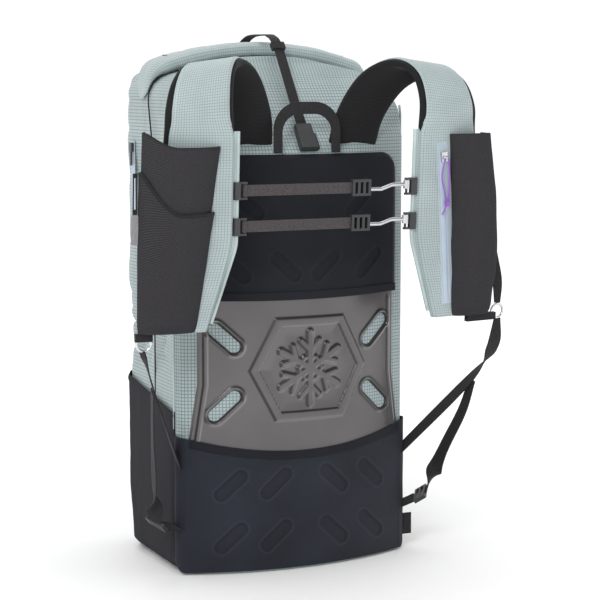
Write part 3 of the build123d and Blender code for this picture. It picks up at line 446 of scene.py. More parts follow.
def satin_sheet(name, colour, rough):
    """Satin, coated sheet: soft clouding, with painted shade in its grooves and a painted highlight
    on its ridges.
    """
    look = Finish(name, colour, rough, metal=0.6, coat=0.2)
    cloud = look.noise(9.0, 3.0)
    base = look.tint(cloud, scaled(colour, 0.86), scaled(colour, 1.12))
    # Painted shade (near black) in the grooves and painted highlight (pale grey) on the ridges,
    # from the piece's marks.
    with_painted_light = look.paint_light_by_mark(base, (0.012, 0.012, 0.013), (0.32, 0.31, 0.31))
    gloss = look.math("MULTIPLY_ADD", cloud, 0.12, rough - 0.06)
    return look.done(with_painted_light, look.noise(1500.0), 0.3, 0.0002, gloss)


def coated_tape(name, colour, line):
    """Coated zip tape: a pale film over a fine cross rib."""
    look = Finish(name, colour, 0.42, coat=0.1)
    rib = look.wave(look.parts("UV")[1], 0.0014)
    cloud = look.noise(40.0, 3.0)
    return look.done(look.tint(cloud, line, colour, 0.2, 0.6),
                     look.math("MULTIPLY_ADD", rib, 0.3, cloud), 0.25, 0.0004)


def braid(name, dark, light):
    """Braided cord: crossing diagonal strands."""
    look = Finish(name, dark, 0.6, sheen=0.2)
    x, _, z = look.parts("Object")
    strands = (look.wave(look.math(kind, x, z), 0.0013) for kind in ("ADD", "SUBTRACT"))
    cross = look.math("MULTIPLY_ADD", look.math("MULTIPLY", *strands), 0.5, 0.5)
    return look.done(look.tint(cross, dark, light), cross, 0.5, 0.0003)


ripstop_mint = ripstop("ripstop_mint", (0.335, 0.405, 0.41), (0.045, 0.070, 0.080), 0.0041, 0.9)
laminate_mint = ripstop("laminate_mint_fine", (0.355, 0.42, 0.425), (0.085, 0.115, 0.125),
                        0.0031, 0.65)
mesh_charcoal = knit_mesh("mesh_charcoal", (0.0150, 0.0145, 0.0160), (0.064, 0.061, 0.066))
# The side pockets' mesh is a copy of the pocket mesh with a slightly darker yarn: painted shade
# against the key lamp's strong light on the sides.
mesh_side_shaded = knit_mesh("mesh_charcoal_side_shaded", (0.014, 0.0137, 0.016), (0.064, 0.062, 0.070))
stretch_navy = stretch_knit("stretch_navy", (0.0090, 0.0105, 0.0165), (0.0215, 0.0250, 0.0370))
navy_deep = stretch_knit("stretch_navy_deep", (0.0035, 0.0042, 0.0070), (0.0085, 0.0102, 0.0160))
hem_navy = stretch_knit("hem_navy", (0.004, 0.0045, 0.0075), (0.009, 0.010, 0.016))
padding_black = spacer_mesh("padding_black", (0.013, 0.013, 0.0145), (0.008, 0.008, 0.009))
webbing_black = webbing("webbing_black", (0.010, 0.010, 0.011), (0.032, 0.032, 0.034))
webbing_plain = webbing("webbing_black_cut", (0.010, 0.010, 0.011), (0.030, 0.030, 0.032), "Object")
webbing_brown = webbing("webbing_brown", (0.040, 0.035, 0.036), (0.088, 0.079, 0.080), "Object")
binding_black = webbing("binding_black", (0.008, 0.008, 0.009), (0.024, 0.024, 0.026))
sheet_satin = satin_sheet("moulded_sheet", (0.105, 0.099, 0.100), 0.36)
buckle_black = moulded("buckle_black", (0.022, 0.023, 0.025), 0.38, grain=900.0)
metal_bright = moulded("metal_bright", (0.55, 0.56, 0.58), 0.24, metal=1.0, grain=600.0)
piping_pale = moulded("piping_pale", (0.36, 0.43, 0.43), 0.5, grain=500.0, depth=0.0005)
zip_tape_pale = coated_tape("zip_tape_pale", (0.40, 0.465, 0.55), (0.32, 0.385, 0.48))
zip_film = coated_tape("zip_panel_film", (0.36, 0.43, 0.48), (0.31, 0.375, 0.425))
teeth_grey = moulded("zip_teeth_grey", (0.30, 0.36, 0.44), 0.35)
cord_purple = braid("cord_purple", (0.17, 0.045, 0.36), (0.36, 0.13, 0.62))
pull_grey = webbing("pull_grey", (0.20, 0.195, 0.20), (0.34, 0.33, 0.34), "Object")
for finish, names in (
        (buckle_black, "left_upper_clip left_lower_clip left_ladder_lock right_upper_clip "
                       "right_lower_clip right_ladder_lock upper_sternum_buckle "
                       "lower_sternum_buckle side_zip_slider top_buckle_socket top_buckle_plug"),
        (metal_bright, "upper_sternum_link lower_sternum_link left_strap_ring "
                       "right_strap_ring zip_slider"),
        (webbing_plain, "left_ring_tab left_roll_tab right_ring_tab right_roll_tab "
                        "top_buckle_anchor top_strap_keeper side_tag right_pull_loop"),
        (webbing_brown, "upper_sternum_web lower_sternum_web"), (pull_grey, "right_pull_tab"),
        (piping_pale, "left_rail right_rail"), (zip_tape_pale, "side_zip_tape"),
        (cord_purple, "zip_cord_knot")):
    for node in (nodes[name] for name in names.split()):
        if not node.material_slots:
            node.data.materials.append(finish)
        for slot in node.material_slots:
            slot.material = finish


# ---------------------------------------------------------------- sack
def half_plan():
    """Plan outline of one side, back middle to front middle: arc, corner, flat, corner, arc."""
    reach = BARREL_RADIUS - BACK_CORNER
    corner_x = HALF_WIDTH - BACK_CORNER
    corner_y = BARREL_Y - math.sqrt(reach ** 2 - corner_x ** 2)
    turn = math.atan2(corner_x, BARREL_Y - corner_y)
    front_reach = FACE_RADIUS - FRONT_CORNER
    front_x = HALF_WIDTH - FRONT_CORNER
    front_y = FACE_Y + math.sqrt(front_reach ** 2 - front_x ** 2)
    front_turn = math.atan2(front_x, front_y - FACE_Y)
    a = np.linspace(0, turn, BACK_POINTS)
    b = np.linspace(turn, math.pi / 2, CORNER_POINTS + 1)[1:]
    c = np.linspace(corner_y, front_y, 60)[1:]
    d = np.linspace(math.pi / 2, front_turn, 60)[1:]
    e = np.linspace(front_turn, 0, 60)[1:]
    x = np.concatenate([BARREL_RADIUS * np.sin(a), corner_x + BACK_CORNER * np.sin(b),
                        HALF_WIDTH + 0 * c, front_x + FRONT_CORNER * np.sin(d),
                        FACE_RADIUS * np.sin(e)])
    y = np.concatenate([BARREL_Y - BARREL_RADIUS * np.cos(a), corner_y - BACK_CORNER * np.cos(b), c,
                        front_y + FRONT_CORNER * np.cos(d), FACE_Y + FACE_RADIUS * np.cos(e)])
    nx = np.concatenate([np.sin(a), np.sin(b), 1 + 0 * c, np.sin(d), np.sin(e)])
    ny = np.concatenate([-np.cos(a), -np.cos(b), 0 * c, np.cos(d), np.cos(e)])
    s = np.concatenate([[0.0], np.cumsum(np.hypot(np.diff(x), np.diff(y)))])
    return s, x, y, nx, ny


PLAN = half_plan()
GIRTH = PLAN[0][-1]
GUSSET_S, POCKET_TOP = 158, 200  # the side seam's distance round the plan, the pockets' height


def s_at_y(y):
    """Distance round the plan at which its side reaches a given y."""
    return np.interp(y, PLAN[2], PLAN[0])


def chord(offset, radius):
    """Half a circle's width at an offset from its centre, 0 beyond its edge."""
    return np.sqrt(np.maximum(radius ** 2 - offset ** 2, 0))


def half_at(z, grow):
    """Half width at a height: base corner, upright side, shoulder corner, arched top."""
    x0, z0, r = SHOULDER
    low = HALF_WIDTH - BASE_CORNER + chord(np.maximum(BASE_CORNER - z, 0), BASE_CORNER + grow)
    corner = x0 + chord(np.maximum(z - z0, 0), r + grow)
    arch = chord(z - ARCH_Z, ARCH_RADIUS + grow)
    return np.minimum(low, np.where(z > z0 + SHOULDER_END * (r + grow), arch, corner))


def front_at(z, grow):
    """Front limit at a height: toe corner, upright front, brow corner."""
    y0, z0, r = BROW
    low = FRONT_Y - TOE_CORNER + chord(np.maximum(TOE_CORNER - z, 0), TOE_CORNER + grow)
    return np.minimum(low, y0 + chord(np.maximum(z - z0, 0), r + grow))


def skin(s, z, grow=0.0):
    """Points on the sack at a distance round it and a height, moved out by grow."""
    s, z, grow = np.broadcast_arrays(np.asarray(s, float), z, grow)
    away = np.abs(s)
    x = np.interp(away, PLAN[0], PLAN[1]) + grow * np.interp(away, PLAN[0], PLAN[3])
    y = np.interp(away, PLAN[0], PLAN[2]) + grow * np.interp(away, PLAN[0], PLAN[4])
    x = np.minimum(x, half_at(z, grow)) * np.sign(s)
    lean = np.where(z > LEAN_Z, LEAN_Y + (z - LEAN_Z) * LEAN_RUN - grow * LEAN_SPREAD,
                    -1e3)
    y = np.minimum(np.maximum(y, lean), front_at(z, grow))
    nx, ny = math.sin(FLANK_TURN), math.cos(FLANK_TURN)
    over = np.maximum(np.abs(x) * nx + y * ny - FLANK_RISE * z - FLANK_REACH - grow, 0)
    x = x - np.sign(x) * over * nx
    y = y - over * ny
    return np.stack([x, y, z + 0 * x], -1)


def meridian():
    """Heights and half widths from the middle of the base to the ridge, along the front view."""
    x0, z0, r = SHOULDER
    turn = math.acos((z0 - ARCH_Z) / (ARCH_RADIUS - r))
    base = np.linspace(0, HALF_WIDTH - BASE_CORNER, 10)
    a = np.linspace(0, math.pi / 2, 7)[1:]
    side = np.linspace(BASE_CORNER, z0, 190)[1:]
    b = np.linspace(math.pi / 2, turn, 20)[1:]
    c = np.linspace(turn, 0, 46)[1:]
    z = np.concatenate([0 * base, BASE_CORNER * (1 - np.cos(a)), side,
                        z0 + r * np.cos(b), ARCH_Z + ARCH_RADIUS * np.cos(c)])
    x = np.concatenate([base, HALF_WIDTH - BASE_CORNER + BASE_CORNER * np.sin(a),
                        HALF_WIDTH + 0 * side, x0 + r * np.sin(b), ARCH_RADIUS * np.sin(c)])
    return x, z


def sack_shell():
    """The sack: the plan clipped to each height's limits, softened, with folds off the back."""
    half, z = meridian()
    s = np.linspace(-GIRTH, GIRTH, 321)[:-1]
    zz = z[None]
    p = skin(s[:, None], zz)
    p[..., 0] = np.clip(p[..., 0], -half, half)
    p = relax(p, 8)
    away = np.abs(s)[:, None]
    free = ease((away - GUSSET_S - 7) / 40) * ease((zz - POCKET_TOP - 25) / 40)
    free = np.maximum(free, ease((zz - 515) / 25) * 0.6)
    free = free * ease((TOP_Z - 1 - zz) / 6)
    fold = (2.4 * creases(p, (120, 70, 34), 3) + 1.6 * creases(p, (60, 40, 90), 7)
            + 1.4 * (drift(p, (70, 70, 55), 5) + 1))
    above = ease((zz - POCKET_TOP) / 20)
    gathered = ease((away - GUSSET_S - 10) / 20) * above * ease((345 - zz) / 60)
    fold = fold + 4.2 * gathered * creases(p + p[..., 2:] * 0.3, (60, 34, 19), 9)
    seam = 1.2 * bell(away, GUSSET_S, 1.6) * above
    upward = ease((zz - 560) / 40) * 200 + 0 * away
    outward = unit(np.stack([p[..., 0], p[..., 1] - 20.0, upward], -1))
    p = p - outward * (fold * free + seam)[..., None]
    rise = np.concatenate([[0.0], np.cumsum(np.hypot(np.diff(half), np.diff(z)))])
    uv = (np.linspace(0, 2 * GIRTH, 321), rise)
    return piece("sack_shell", p, ripstop_mint, stands_for=["main_sack"], slot="ripstop_mint",
                 around=True, closed=True, uv=uv)


sack_shell()


def roll_shell():
    """The rolled top: a flattened roll along the arch, folded down over both shoulders."""
    x0, z0, r = SHOULDER
    arch_turn = math.asin(x0 / (ARCH_RADIUS - r))
    over = np.concatenate([np.linspace(0, arch_turn, 50), np.linspace(arch_turn, 1.45, 30)[1:]])
    fall = ease((over - arch_turn * 0.9) / (1.3 - arch_turn * 0.9))
    gap = 8.0 - 7.1 * fall
    on_arch = over <= arch_turn
    x = np.where(on_arch, (ARCH_RADIUS + gap) * np.sin(over), x0 + (r + gap) * np.sin(over))
    z = np.where(on_arch, ARCH_Z + (ARCH_RADIUS + gap) * np.cos(over),
                 z0 + (r + gap) * np.cos(over))
    x, z = np.concatenate([-x[:0:-1], x]), np.concatenate([z[:0:-1], z])
    fall = np.concatenate([fall[:0:-1], fall])
    path = np.stack([x, 29 - 4 * fall, z], 1)
    count = len(path)
    end = end_taper(count, 6.0, 0.1)
    rings = carried(path, np.tile([0.0, 1.0, 0.0], (count, 1)), (58 - 26 * fall) * end,
                    (22 - 18.5 * fall) * end, power=2.8, count=72)
    turn = np.linspace(0, 2 * np.pi, 72, endpoint=False)
    lap = 1.3 * bell(turn, 2.35, 0.10) + bell(turn, 5.2, 0.12)
    sink = lap[None] + 1.3 * creases(rings, (26, 60, 60), 11) + 0.8 * (drift(rings, 30, 2) + 1)
    spine = np.concatenate([path[:1], path[:1], path, path[-1:], path[-1:]])
    hold = np.concatenate([[0, 0], 1 - 0.6 * fall, [0, 0]])[:, None]
    rings = rings - unit(rings - spine[:, None]) * (sink * hold)[..., None]
    return tube("roll_top_shell", rings, laminate_mint, stands_for=["roll_top"],
                slot="ripstop_mint")


roll_shell()


# ---------------------------------------------------------------- back sheet and its sleeves
def barrel(x, z, out):
    """Points on the back's barrel, moved out."""
    y = BARREL_Y - np.sqrt((BARREL_RADIUS + out) ** 2 - x ** 2)
    return np.stack([x + 0 * y, y, z + 0 * y], -1)


SLOTS_OPEN = [(x, z) for x in (-99.0, 99.0) for z in (204.0, 285.0)]
SLOTS_UNDER = [(-92.0, 108.0), (-38.0, 108.0), (38.0, 108.0), (92.0, 108.0), (-92.0, 44.0),
               (-38.0, 44.0), (38.0, 44.0), (92.0, 44.0), (-72.0, 442.0), (72.0, 442.0),
               (-26.0, 368.0), (26.0, 368.0), (-88.0, 368.0), (88.0, 368.0)]
SLOT_HALF, SLOT_RADIUS, SLOT_TURN, SLOT_MIDDLE_Z = 15.5, 7.5, math.radians(43), 244.5
SHEET_LOW, SHEET_HIGH = 14, 493
WINDOW_LOW, WINDOW_HIGH = 150, 328  # the part of the sheet that no sleeve covers
CREST_X, CREST_Z = 6.0, 245.0


def to_slot(x, z, centres):
    """Distance to the nearest slanting slot: to its middle line, less its radius."""
    best = np.full(np.broadcast(x, z).shape, 1e3)
    for cx, cz in centres:
        turn = SLOT_TURN if (cx > 0) == (cz > SLOT_MIDDLE_Z) else -SLOT_TURN
        along = (x - cx) * math.cos(turn) + (z - cz) * math.sin(turn)
        over = -(x - cx) * math.sin(turn) + (z - cz) * math.cos(turn)
        gap = np.hypot(np.maximum(np.abs(along) - SLOT_HALF, 0), over) - SLOT_RADIUS
        best = np.minimum(best, gap)
    return best


def to_line(x, z, points):
    """Distance to a chain of straight lines."""
    best = np.full(np.broadcast(x, z).shape, 1e3)
    for (ax, az), (bx, bz) in zip(points, points[1:]):
        dx, dz = bx - ax, bz - az
        t = np.clip(((x - ax) * dx + (z - az) * dz) / (dx * dx + dz * dz), 0, 1)
        best = np.minimum(best, np.hypot(x - ax - t * dx, z - az - t * dz))
    return best


def ridge(away, half, height):
    """A flat-topped ridge with eased sides, by the distance from its middle line."""
    return height * ease((half - away) / (0.55 * half))


def sheet_shell():
    """Moulded sheet: the barrel with rims round the slots and a raised snow crystal."""
    z = np.concatenate([np.linspace(SHEET_LOW, WINDOW_LOW - 8, 24),
                        np.linspace(WINDOW_LOW - 6, WINDOW_HIGH + 6, 176),
                        np.linspace(WINDOW_HIGH + 9, SHEET_HIGH, 30)])
    t = np.linspace(-1, 1, 262)
    half = np.interp(z, [SHEET_LOW, 155, 230, SHEET_HIGH], [141, 141, 130, 130])
    x = t[:, None] * half[None]
    zz = z[None] + 0 * x
    inside = half[None] - np.abs(x)
    window = ease((zz - WINDOW_LOW) / 12) * ease((WINDOW_HIGH - zz) / 8)
    hole = to_slot(x, zz, SLOTS_OPEN)
    rim = 1.5 * bell(hole, 3.4, 1.8)
    cx, cz = x - CREST_X, zz - CREST_Z
    lift = np.maximum.reduce([np.abs(cz), np.abs(cx) * 0.80 + np.abs(cz) * 0.42]) - 58.0
    reach = np.hypot(cx, cz)
    turn = np.abs(np.mod(np.arctan2(cz, cx), math.pi / 3) - math.pi / 6)
    along, aside = reach * np.cos(turn), reach * np.sin(turn)
    arm = to_line(along, aside, [(0, 0), (43, 0)]) - 4.6
    twig = to_line(along, aside, [(21, 0), (33, 12)]) - 3.6
    heart = np.minimum(np.abs(along - 13) - 2.6, reach - 3)
    motif = 2.4 * ease(0.5 - np.minimum(np.minimum(arm, twig), heart) / 3.4)
    band = ridge(lift, 5.0, 2.2)
    border = ridge(np.abs(inside - 9.0), 3.4, 1.3)
    dish = 1.2 * ease(-lift / 20)
    out = 2.2 + window * (np.maximum(motif, band * (lift > -6)) - dish + rim + border)
    out = np.where(hole < 0.9, np.minimum(out, -2.4 + 5.0 * ease((hole + 1.0) / 1.9)), out)
    edge = ease(np.minimum(inside, 1.8) / 1.8)
    out = out * edge - 1.2 * (1 - edge)
    p = barrel(x, zz, out)
    sheet = piece("frame_sheet_shell", p, sheet_satin, stands_for=["frame_sheet"],
                  slot="moulded_sheet")
    # Painted light for the finish: painted highlight on the slopes of each step that face one way,
    # painted shade on steep slopes facing the other way, and painted shade down the slot holes.
    step = np.hypot(*np.gradient(out)) * (inside > 3)
    facing_light = -np.gradient(out, axis=0) * 0.6 + np.gradient(out, axis=1) * 0.8
    dark = np.clip(step * 1.5 - np.clip(facing_light, 0, 1) * 3.0, 0, 0.8)
    painted_light = np.clip(facing_light * 1.3, 0, 0.55) - dark
    painted_light = np.where(hole < 1.6, -0.75, painted_light) * window
    return mark(sheet, painted_light)


sheet_shell()


def slot_painted_light(hidden):
    """Painted light for a slot felt through cloth: painted shade inside its rim, a little painted
    highlight on the rim.
    """
    return 0.35 * bell(hidden, 2.0, 1.3) - 0.5 * bell(hidden, -0.6, 1.5) - 0.15 * (hidden < -1.5)


def sunk(hidden):
    """How far cloth sinks over a covered slot, with a low rise on the slot's rim."""
    return 0.95 * ease((0.6 - hidden) / 2.2) - 0.35 * bell(hidden, 1.8, 1.2)


def upper_low(x):
    """Hem of the upper sleeve, almost level."""
    return 328.0 + 2.0 * (x / 134.0) ** 2


def upper_high(x):
    """Top of the upper sleeve: level with round corners."""
    away = np.maximum(np.abs(x) - 110.0, 0)
    return 476.0 + np.sqrt(np.maximum(24.2 ** 2 - away ** 2, 4.0))


def lower_high(x):
    """Hem of the lower sleeve: a shallow curve, lowest in the middle."""
    return 146.0 + 22.0 * (x / 150.0) ** 2


def upper_cover():
    """Upper sleeve: the barrel out over the sheet, sunk over its slots, sewn at its edges."""
    half = 134.0
    x = np.linspace(-half, half, 150)[:, None]
    t = np.linspace(0, 1, 110)[None]
    z = upper_low(x) + (upper_high(x) - upper_low(x)) * t
    x = x + 0 * z
    hidden = to_slot(x, z, SLOTS_UNDER)
    slack = 0.35 * drift(barrel(x, z, 0), (50, 50, 30), 21)
    side = ease((half - np.abs(x)) / 5.0)
    top = ease((1 - t) * 172 / 5.0)
    out = (3.5 - sunk(hidden) + slack) * side + 0.5 * (1 - side)
    out = out * top + 0.4 * (1 - top)
    cloth = piece("upper_sleeve_cloth", barrel(x, z, out), navy_deep, wall=0.9,
                  stands_for=["upper_sleeve"], slot="stretch_navy")
    return mark(cloth, slot_painted_light(hidden))


def lower_cover():
    """Lower sleeve: across the back and round both corners to the sides."""
    end = float(s_at_y(LOWER_WRAP_Y))
    s = np.linspace(-end, end, 190)[:, None]
    t = np.linspace(0, 1, 90)[None]
    x = np.interp(np.abs(s), PLAN[0], PLAN[1]) * np.sign(s)
    z = 3.0 + (lower_high(x) - 3.0) * t
    hidden = to_slot(x, z, SLOTS_UNDER)
    side = ease((end - np.abs(s)) / 5.0)
    corner = 0.5 * bell(np.abs(x), 141.5, 1.8)
    slack = 0.3 * drift(skin(s, z), (50, 50, 30), 4)
    out = (3.5 - sunk(hidden) + slack + corner) * side + 0.6 * (1 - side)
    cloth = piece("lower_sleeve_cloth", skin(s, z, out), stretch_navy, wall=0.9,
                  stands_for=["lower_sleeve"], slot="stretch_navy")
    return mark(cloth, slot_painted_light(hidden))


upper_cover()
lower_cover()


def hem(name, half, line, inward):
    """A hem band: a flat strip along the sleeve's edge, a little proud of it."""
    x = np.linspace(-half, half, 150)
    path = barrel(x, line(x) + inward, 4.4)
    rings = carried(path, np.tile([0.0, 0.0, 1.0], (len(x), 1)), 9.5, 1.5, power=5.0)
    return tube(name, rings, hem_navy, slot="stretch_navy")


hem("upper_hem", 131.5, upper_low, 5.0)
hem("lower_hem", 139.0, lower_high, -5.0)


# ---------------------------------------------------------------- pockets on the sack
SIDE_BACK, SIDE_FRONT = -78.0, 92.0
SIDE_RUN = SIDE_FRONT - SIDE_BACK
COVER_HALF, COVER_LOW, COVER_HIGH = 112.0, 70.0, 520.0


def side_pocket(side, mirrored):
    """A stretch pocket on the sack's side, up to a slanting hem, with slack folds."""
    y = np.linspace(SIDE_BACK, SIDE_FRONT, 80)[:, None]
    t = np.linspace(0, 1, 110)[None]
    top = 196 + (y - SIDE_BACK) / SIDE_RUN * 26
    z = 3.0 + (top - 3.0) * t
    s = s_at_y(y) + 0 * z
    flat = skin(s, z)
    fold = 1.7 * creases(flat, (60, 46, 70), 31) + 1.2 * drift(flat, (60, 30, 42), 33)
    middle = ease(t / 0.06) * ease((1.0 - t) / 0.05 + 0.35)
    fringe = ease((y - SIDE_BACK) / 7) * ease((SIDE_FRONT - y) / 7)
    belly = 5.0 * np.sin(np.pi * (y - SIDE_BACK) / SIDE_RUN) * np.sin(np.pi * t) ** 0.7
    out = 1.3 + (2.2 + fold + belly) * middle * fringe + 1.4 * ease((t - 0.955) / 0.02) * fringe
    hem_line = skin(s_at_y(y[3:-3, 0]), top[3:-3, 0] - 4.0, 3.6) * [-1 if mirrored else 1, 1, 1]
    cordline(f"{side}_side_pocket_hem", hem_line, 1.6, binding_black, slot="webbing_black")
    return piece(f"{side}_side_pocket_cloth", skin(s, z, out), mesh_side_shaded, wall=1.0,
                 stands_for=[f"{side}_side_pocket"], slot="mesh_charcoal", mirrored=mirrored)


for side, mirrored in SIDES:
    side_pocket(side, mirrored)


def front_cover():
    """Front stretch pocket: full and slack between its sewn sides, gathered at its hem."""
    x = np.linspace(-COVER_HALF, COVER_HALF, 110)[:, None]
    z = np.linspace(COVER_LOW, COVER_HIGH, 190)[None]
    s = GIRTH - x
    flat = skin(s, z)
    fringe = ease((COVER_HALF - np.abs(x)) / 9) * ease((z - COVER_LOW) / 9)
    fold = 3.2 * creases(flat, (44, 50, 150), 41) + 2.2 * drift(flat, (70, 70, 60), 43)
    rise = np.sin(np.pi * (z - COVER_LOW) / (COVER_HIGH - COVER_LOW)) ** 0.8
    belly = 5.5 * np.cos(x / COVER_HALF * np.pi / 2) * rise
    out = 1.0 + fringe * (2.6 + (fold + belly) * ease((COVER_HIGH - z) / 40))
    line_x = x[4:-4, 0]
    hem_line = skin(GIRTH - np.abs(line_x), COVER_HIGH - 4.0, 4.2)
    hem_line[:, 0] *= np.where(line_x < 0, -1, 1)
    cordline("front_pocket_hem", hem_line, 1.8, binding_black, slot="webbing_black")
    p = skin(np.where(s > GIRTH, 2 * GIRTH - s, s), z, out)
    p[..., 0] = np.where(s > GIRTH, -np.abs(p[..., 0]), p[..., 0])
    return piece("front_pocket_cloth", p, mesh_charcoal, wall=1.1, stands_for=["front_pocket"],
                 slot="mesh_charcoal")


front_cover()


# ---------------------------------------------------------------- shoulder straps
YAW, TILT = math.radians(6.0), math.radians(3.5)
UP = np.array([0.0, -math.sin(TILT), math.cos(TILT)])
OUT = np.array([math.sin(YAW), -math.cos(YAW) * math.cos(TILT), -math.cos(YAW) * math.sin(TILT)])
ACROSS = np.cross(UP, OUT)
STRAP_TOP = np.array([118.0, -184.0, 530.0])
ARCH_ROWS = (((36, -106, 502), (100, -102, 502)), ((42, -117, 545), (106, -115, 542)),
             ((58, -130, 582), (126, -128, 576)), ((76, -144, 602), (150, -142, 592)),
             ((97, -160, 607), (170, -158, 597)), ((113, -176, 594), (187, -171, 583)),
             ((119, -184, 565), (196, -177, 557)))
HANG_ROWS = ((0, 80, 0), (0, 82, -32), (0, 84, -65), (0, 85.7, -98), (0.8, 87.6, -126),
             (6, 91, -150), (14, 95.5, -178), (22, 99.4, -204), (27.2, 101.5, -222),
             (29.5, 99.5, -227))


def strap(across, height, out):
    """Points from the flat hanging part's own three directions."""
    a, h, o = (np.asarray(v, float)[..., None] for v in (across, height, out))
    return STRAP_TOP + a * ACROSS + h * UP + o * OUT


def strap_rows():
    """Inner edge, outer edge and outward direction along the whole strap."""
    inner, outer = (np.array([np.array(row[k], float) for row in ARCH_ROWS]
                             + [strap(row[k], row[2], 0) for row in HANG_ROWS]) for k in (0, 1))
    out = unit(np.cross(np.gradient((inner + outer) / 2, axis=0), outer - inner))
    out[len(ARCH_ROWS):] = OUT
    rows = spline(np.column_stack([inner, outer, out]), STRAP_COUNT)
    return rows[:, :3], rows[:, 3:6], unit(rows[:, 6:9])


STRAP_COUNT = 170
STRAP_ROWS = strap_rows()


def pad_point(share, lift):
    """Points over the strap: a share of its width and a lift along its outward direction."""
    inner, outer, out = (r[:, None] for r in STRAP_ROWS)
    return inner + (outer - inner) * share[..., None] + out * lift[..., None]


def strap_pad(side, mirrored):
    """Padded core: a flat superellipse between the edges, thinner at its toe and root."""
    turn = np.linspace(0, 2 * np.pi, 56, endpoint=False)
    share = 0.5 + 0.5 * rounded(np.cos(turn), 0.42) + np.zeros((STRAP_COUNT, 1))
    lift = 5.0 * rounded(np.sin(turn), 0.55) * end_taper(STRAP_COUNT, 5.0, 0.12)[:, None]
    groove = bell(share, 0.5, 0.012) * (np.sin(turn) < 0)
    rings = pad_point(share, lift) + STRAP_ROWS[2][:, None] * groove[..., None] * 1.1
    return tube(f"{side}_strap_padding", tube_ends(rings), padding_black,
                stands_for=[f"{side}_strap_pad"], slot="padding_black", mirrored=mirrored)


def strap_face(side, mirrored):
    """The strap's face fabric: crowned over the padding, wrapped round the hanging inner edge."""
    edge_line, _, out = STRAP_ROWS
    hang = ease((548 - edge_line[:, 2:3]) / 26) * (edge_line[:, 1:2] < -150)
    low = 0.07 - 0.08 * hang
    high = 0.915 + 0.03 * hang
    share = low + (high - low) * np.linspace(0, 1, 64)[None]
    inner = ease((share - low) / 0.05)
    edge = inner * ease((high - share) / 0.05)
    p = pad_point(share, 4.6 + 1.9 * edge - 5.2 * (1 - inner) * hang)
    p = p + out[:, None] * (0.18 * drift(p, (24, 24, 16), 51) * edge)[..., None]
    return piece(f"{side}_strap_face", p[2:-2], laminate_mint, wall=0.9, flip=True,
                 stands_for=[f"{side}_strap_cover"], slot="ripstop_mint", mirrored=mirrored)


for side, mirrored in SIDES:
    strap_pad(side, mirrored)
    strap_face(side, mirrored)


# ---------------------------------------------------------------- pockets on the straps
POCKET_CENTRE = 4.0
BOTTLE = ((-6.0, 68.0, 28.0, 22.0), (-60.0, 74.3, 31.0, 26.0), (-140.0, 81.0, 32.8, 26.0),
          (-205.0, 81.6, 29.5, 19.5), (-219.0, 81.5, 28.5, 15.0), (-225.5, 81.0, 27.0, 8.0))
FLASK = ((-4.0, 60.5, 44.5, 21.0), (-80.0, 65.5, 40.5, 23.0), (-150.0, 70.0, 36.0, 21.0),
         (-208.0, 74.5, 31.5, 15.0), (-219.0, 75.2, 30.6, 11.5), (-225.5, 75.5, 29.5, 7.0))


def pouch(sections, grow, rim, seed):
    """Half ellipses across the strap from its toe up to a rim line, with slack folds."""
    rows = spline(np.array(sections), 110)
    turn = np.linspace(-0.42, math.pi + 0.42, 76)
    share = np.linspace(0, 1, 110)[:, None]
    low = rows[-1, 0]
    level = low + (rows[:, :1] - low) * (rim(turn)[None] - low) / (rows[0, 0] - low)
    centre, half, bulge = (np.interp(level, rows[::-1, 0], rows[::-1, k]) for k in (1, 2, 3))
    across = centre + (half + grow) * np.cos(turn)[None]
    p = strap(across, level, POCKET_CENTRE + (bulge + grow) * np.sin(turn)[None])
    fold = 1.3 * creases(p, (26, 40, 64), seed) + 0.9 * drift(p, (20, 20, 30), seed + 1)
    hold = ease(share / 0.08) * ease((1 - share) / 0.10) * ease((turn + 0.3) / 0.5)[None]
    n = normals(p)
    sign = np.sign((n * OUT).sum(-1).mean())
    return p - n * sign * (fold * hold)[..., None]


def bottle_rim(turn):
    """Mouth of the bottle pocket: level, a touch lower in front."""
    return -7.5 + 2.0 * np.sin(np.clip(turn, 0, math.pi))


def flask_rim(turn):
    """Mouth of the flask pocket: high at the outer edge and low at the front."""
    return -2.0 - 15.0 * ease((turn - 0.2) / 1.2)


def phone_rim(turn):
    """Mouth of the lower pocket: falls from the outer edge to the inner one in a curve."""
    return -46.0 - 44.0 * ease((turn - 0.1) / 1.5)


def strap_pocket(side, kind, shape, binding, width=5.0, thick=2.2):
    """A pocket's cloth and the elastic binding along its mouth."""
    mirrored = side == "right"
    p = pouch(*shape)
    piece(f"{kind}_pocket_cloth", p, mesh_charcoal, wall=1.1, slot="mesh_charcoal",
          stands_for=[f"{side}_{kind}_pocket"], mirrored=mirrored)
    path = p[0] - UP * 1.2
    rings = carried(path, np.tile(UP, (len(path), 1)), width, thick, power=3.0, count=16)
    tube(f"{kind}_pocket_rim", rings, binding, mirrored=mirrored, slot="webbing_black")


strap_pocket("left", "bottle", (BOTTLE, 0.0, bottle_rim, 61), mesh_charcoal)
strap_pocket("right", "flask", (FLASK, 0.0, flask_rim, 71), binding_black)
# The lower pocket's black rim band is its binding, and its dark also stands as painted shade: the
# shadow line under the fold at its mouth.
strap_pocket("right", "phone", (FLASK, 2.6, phone_rim, 81), binding_black, 4.5, 3.2)

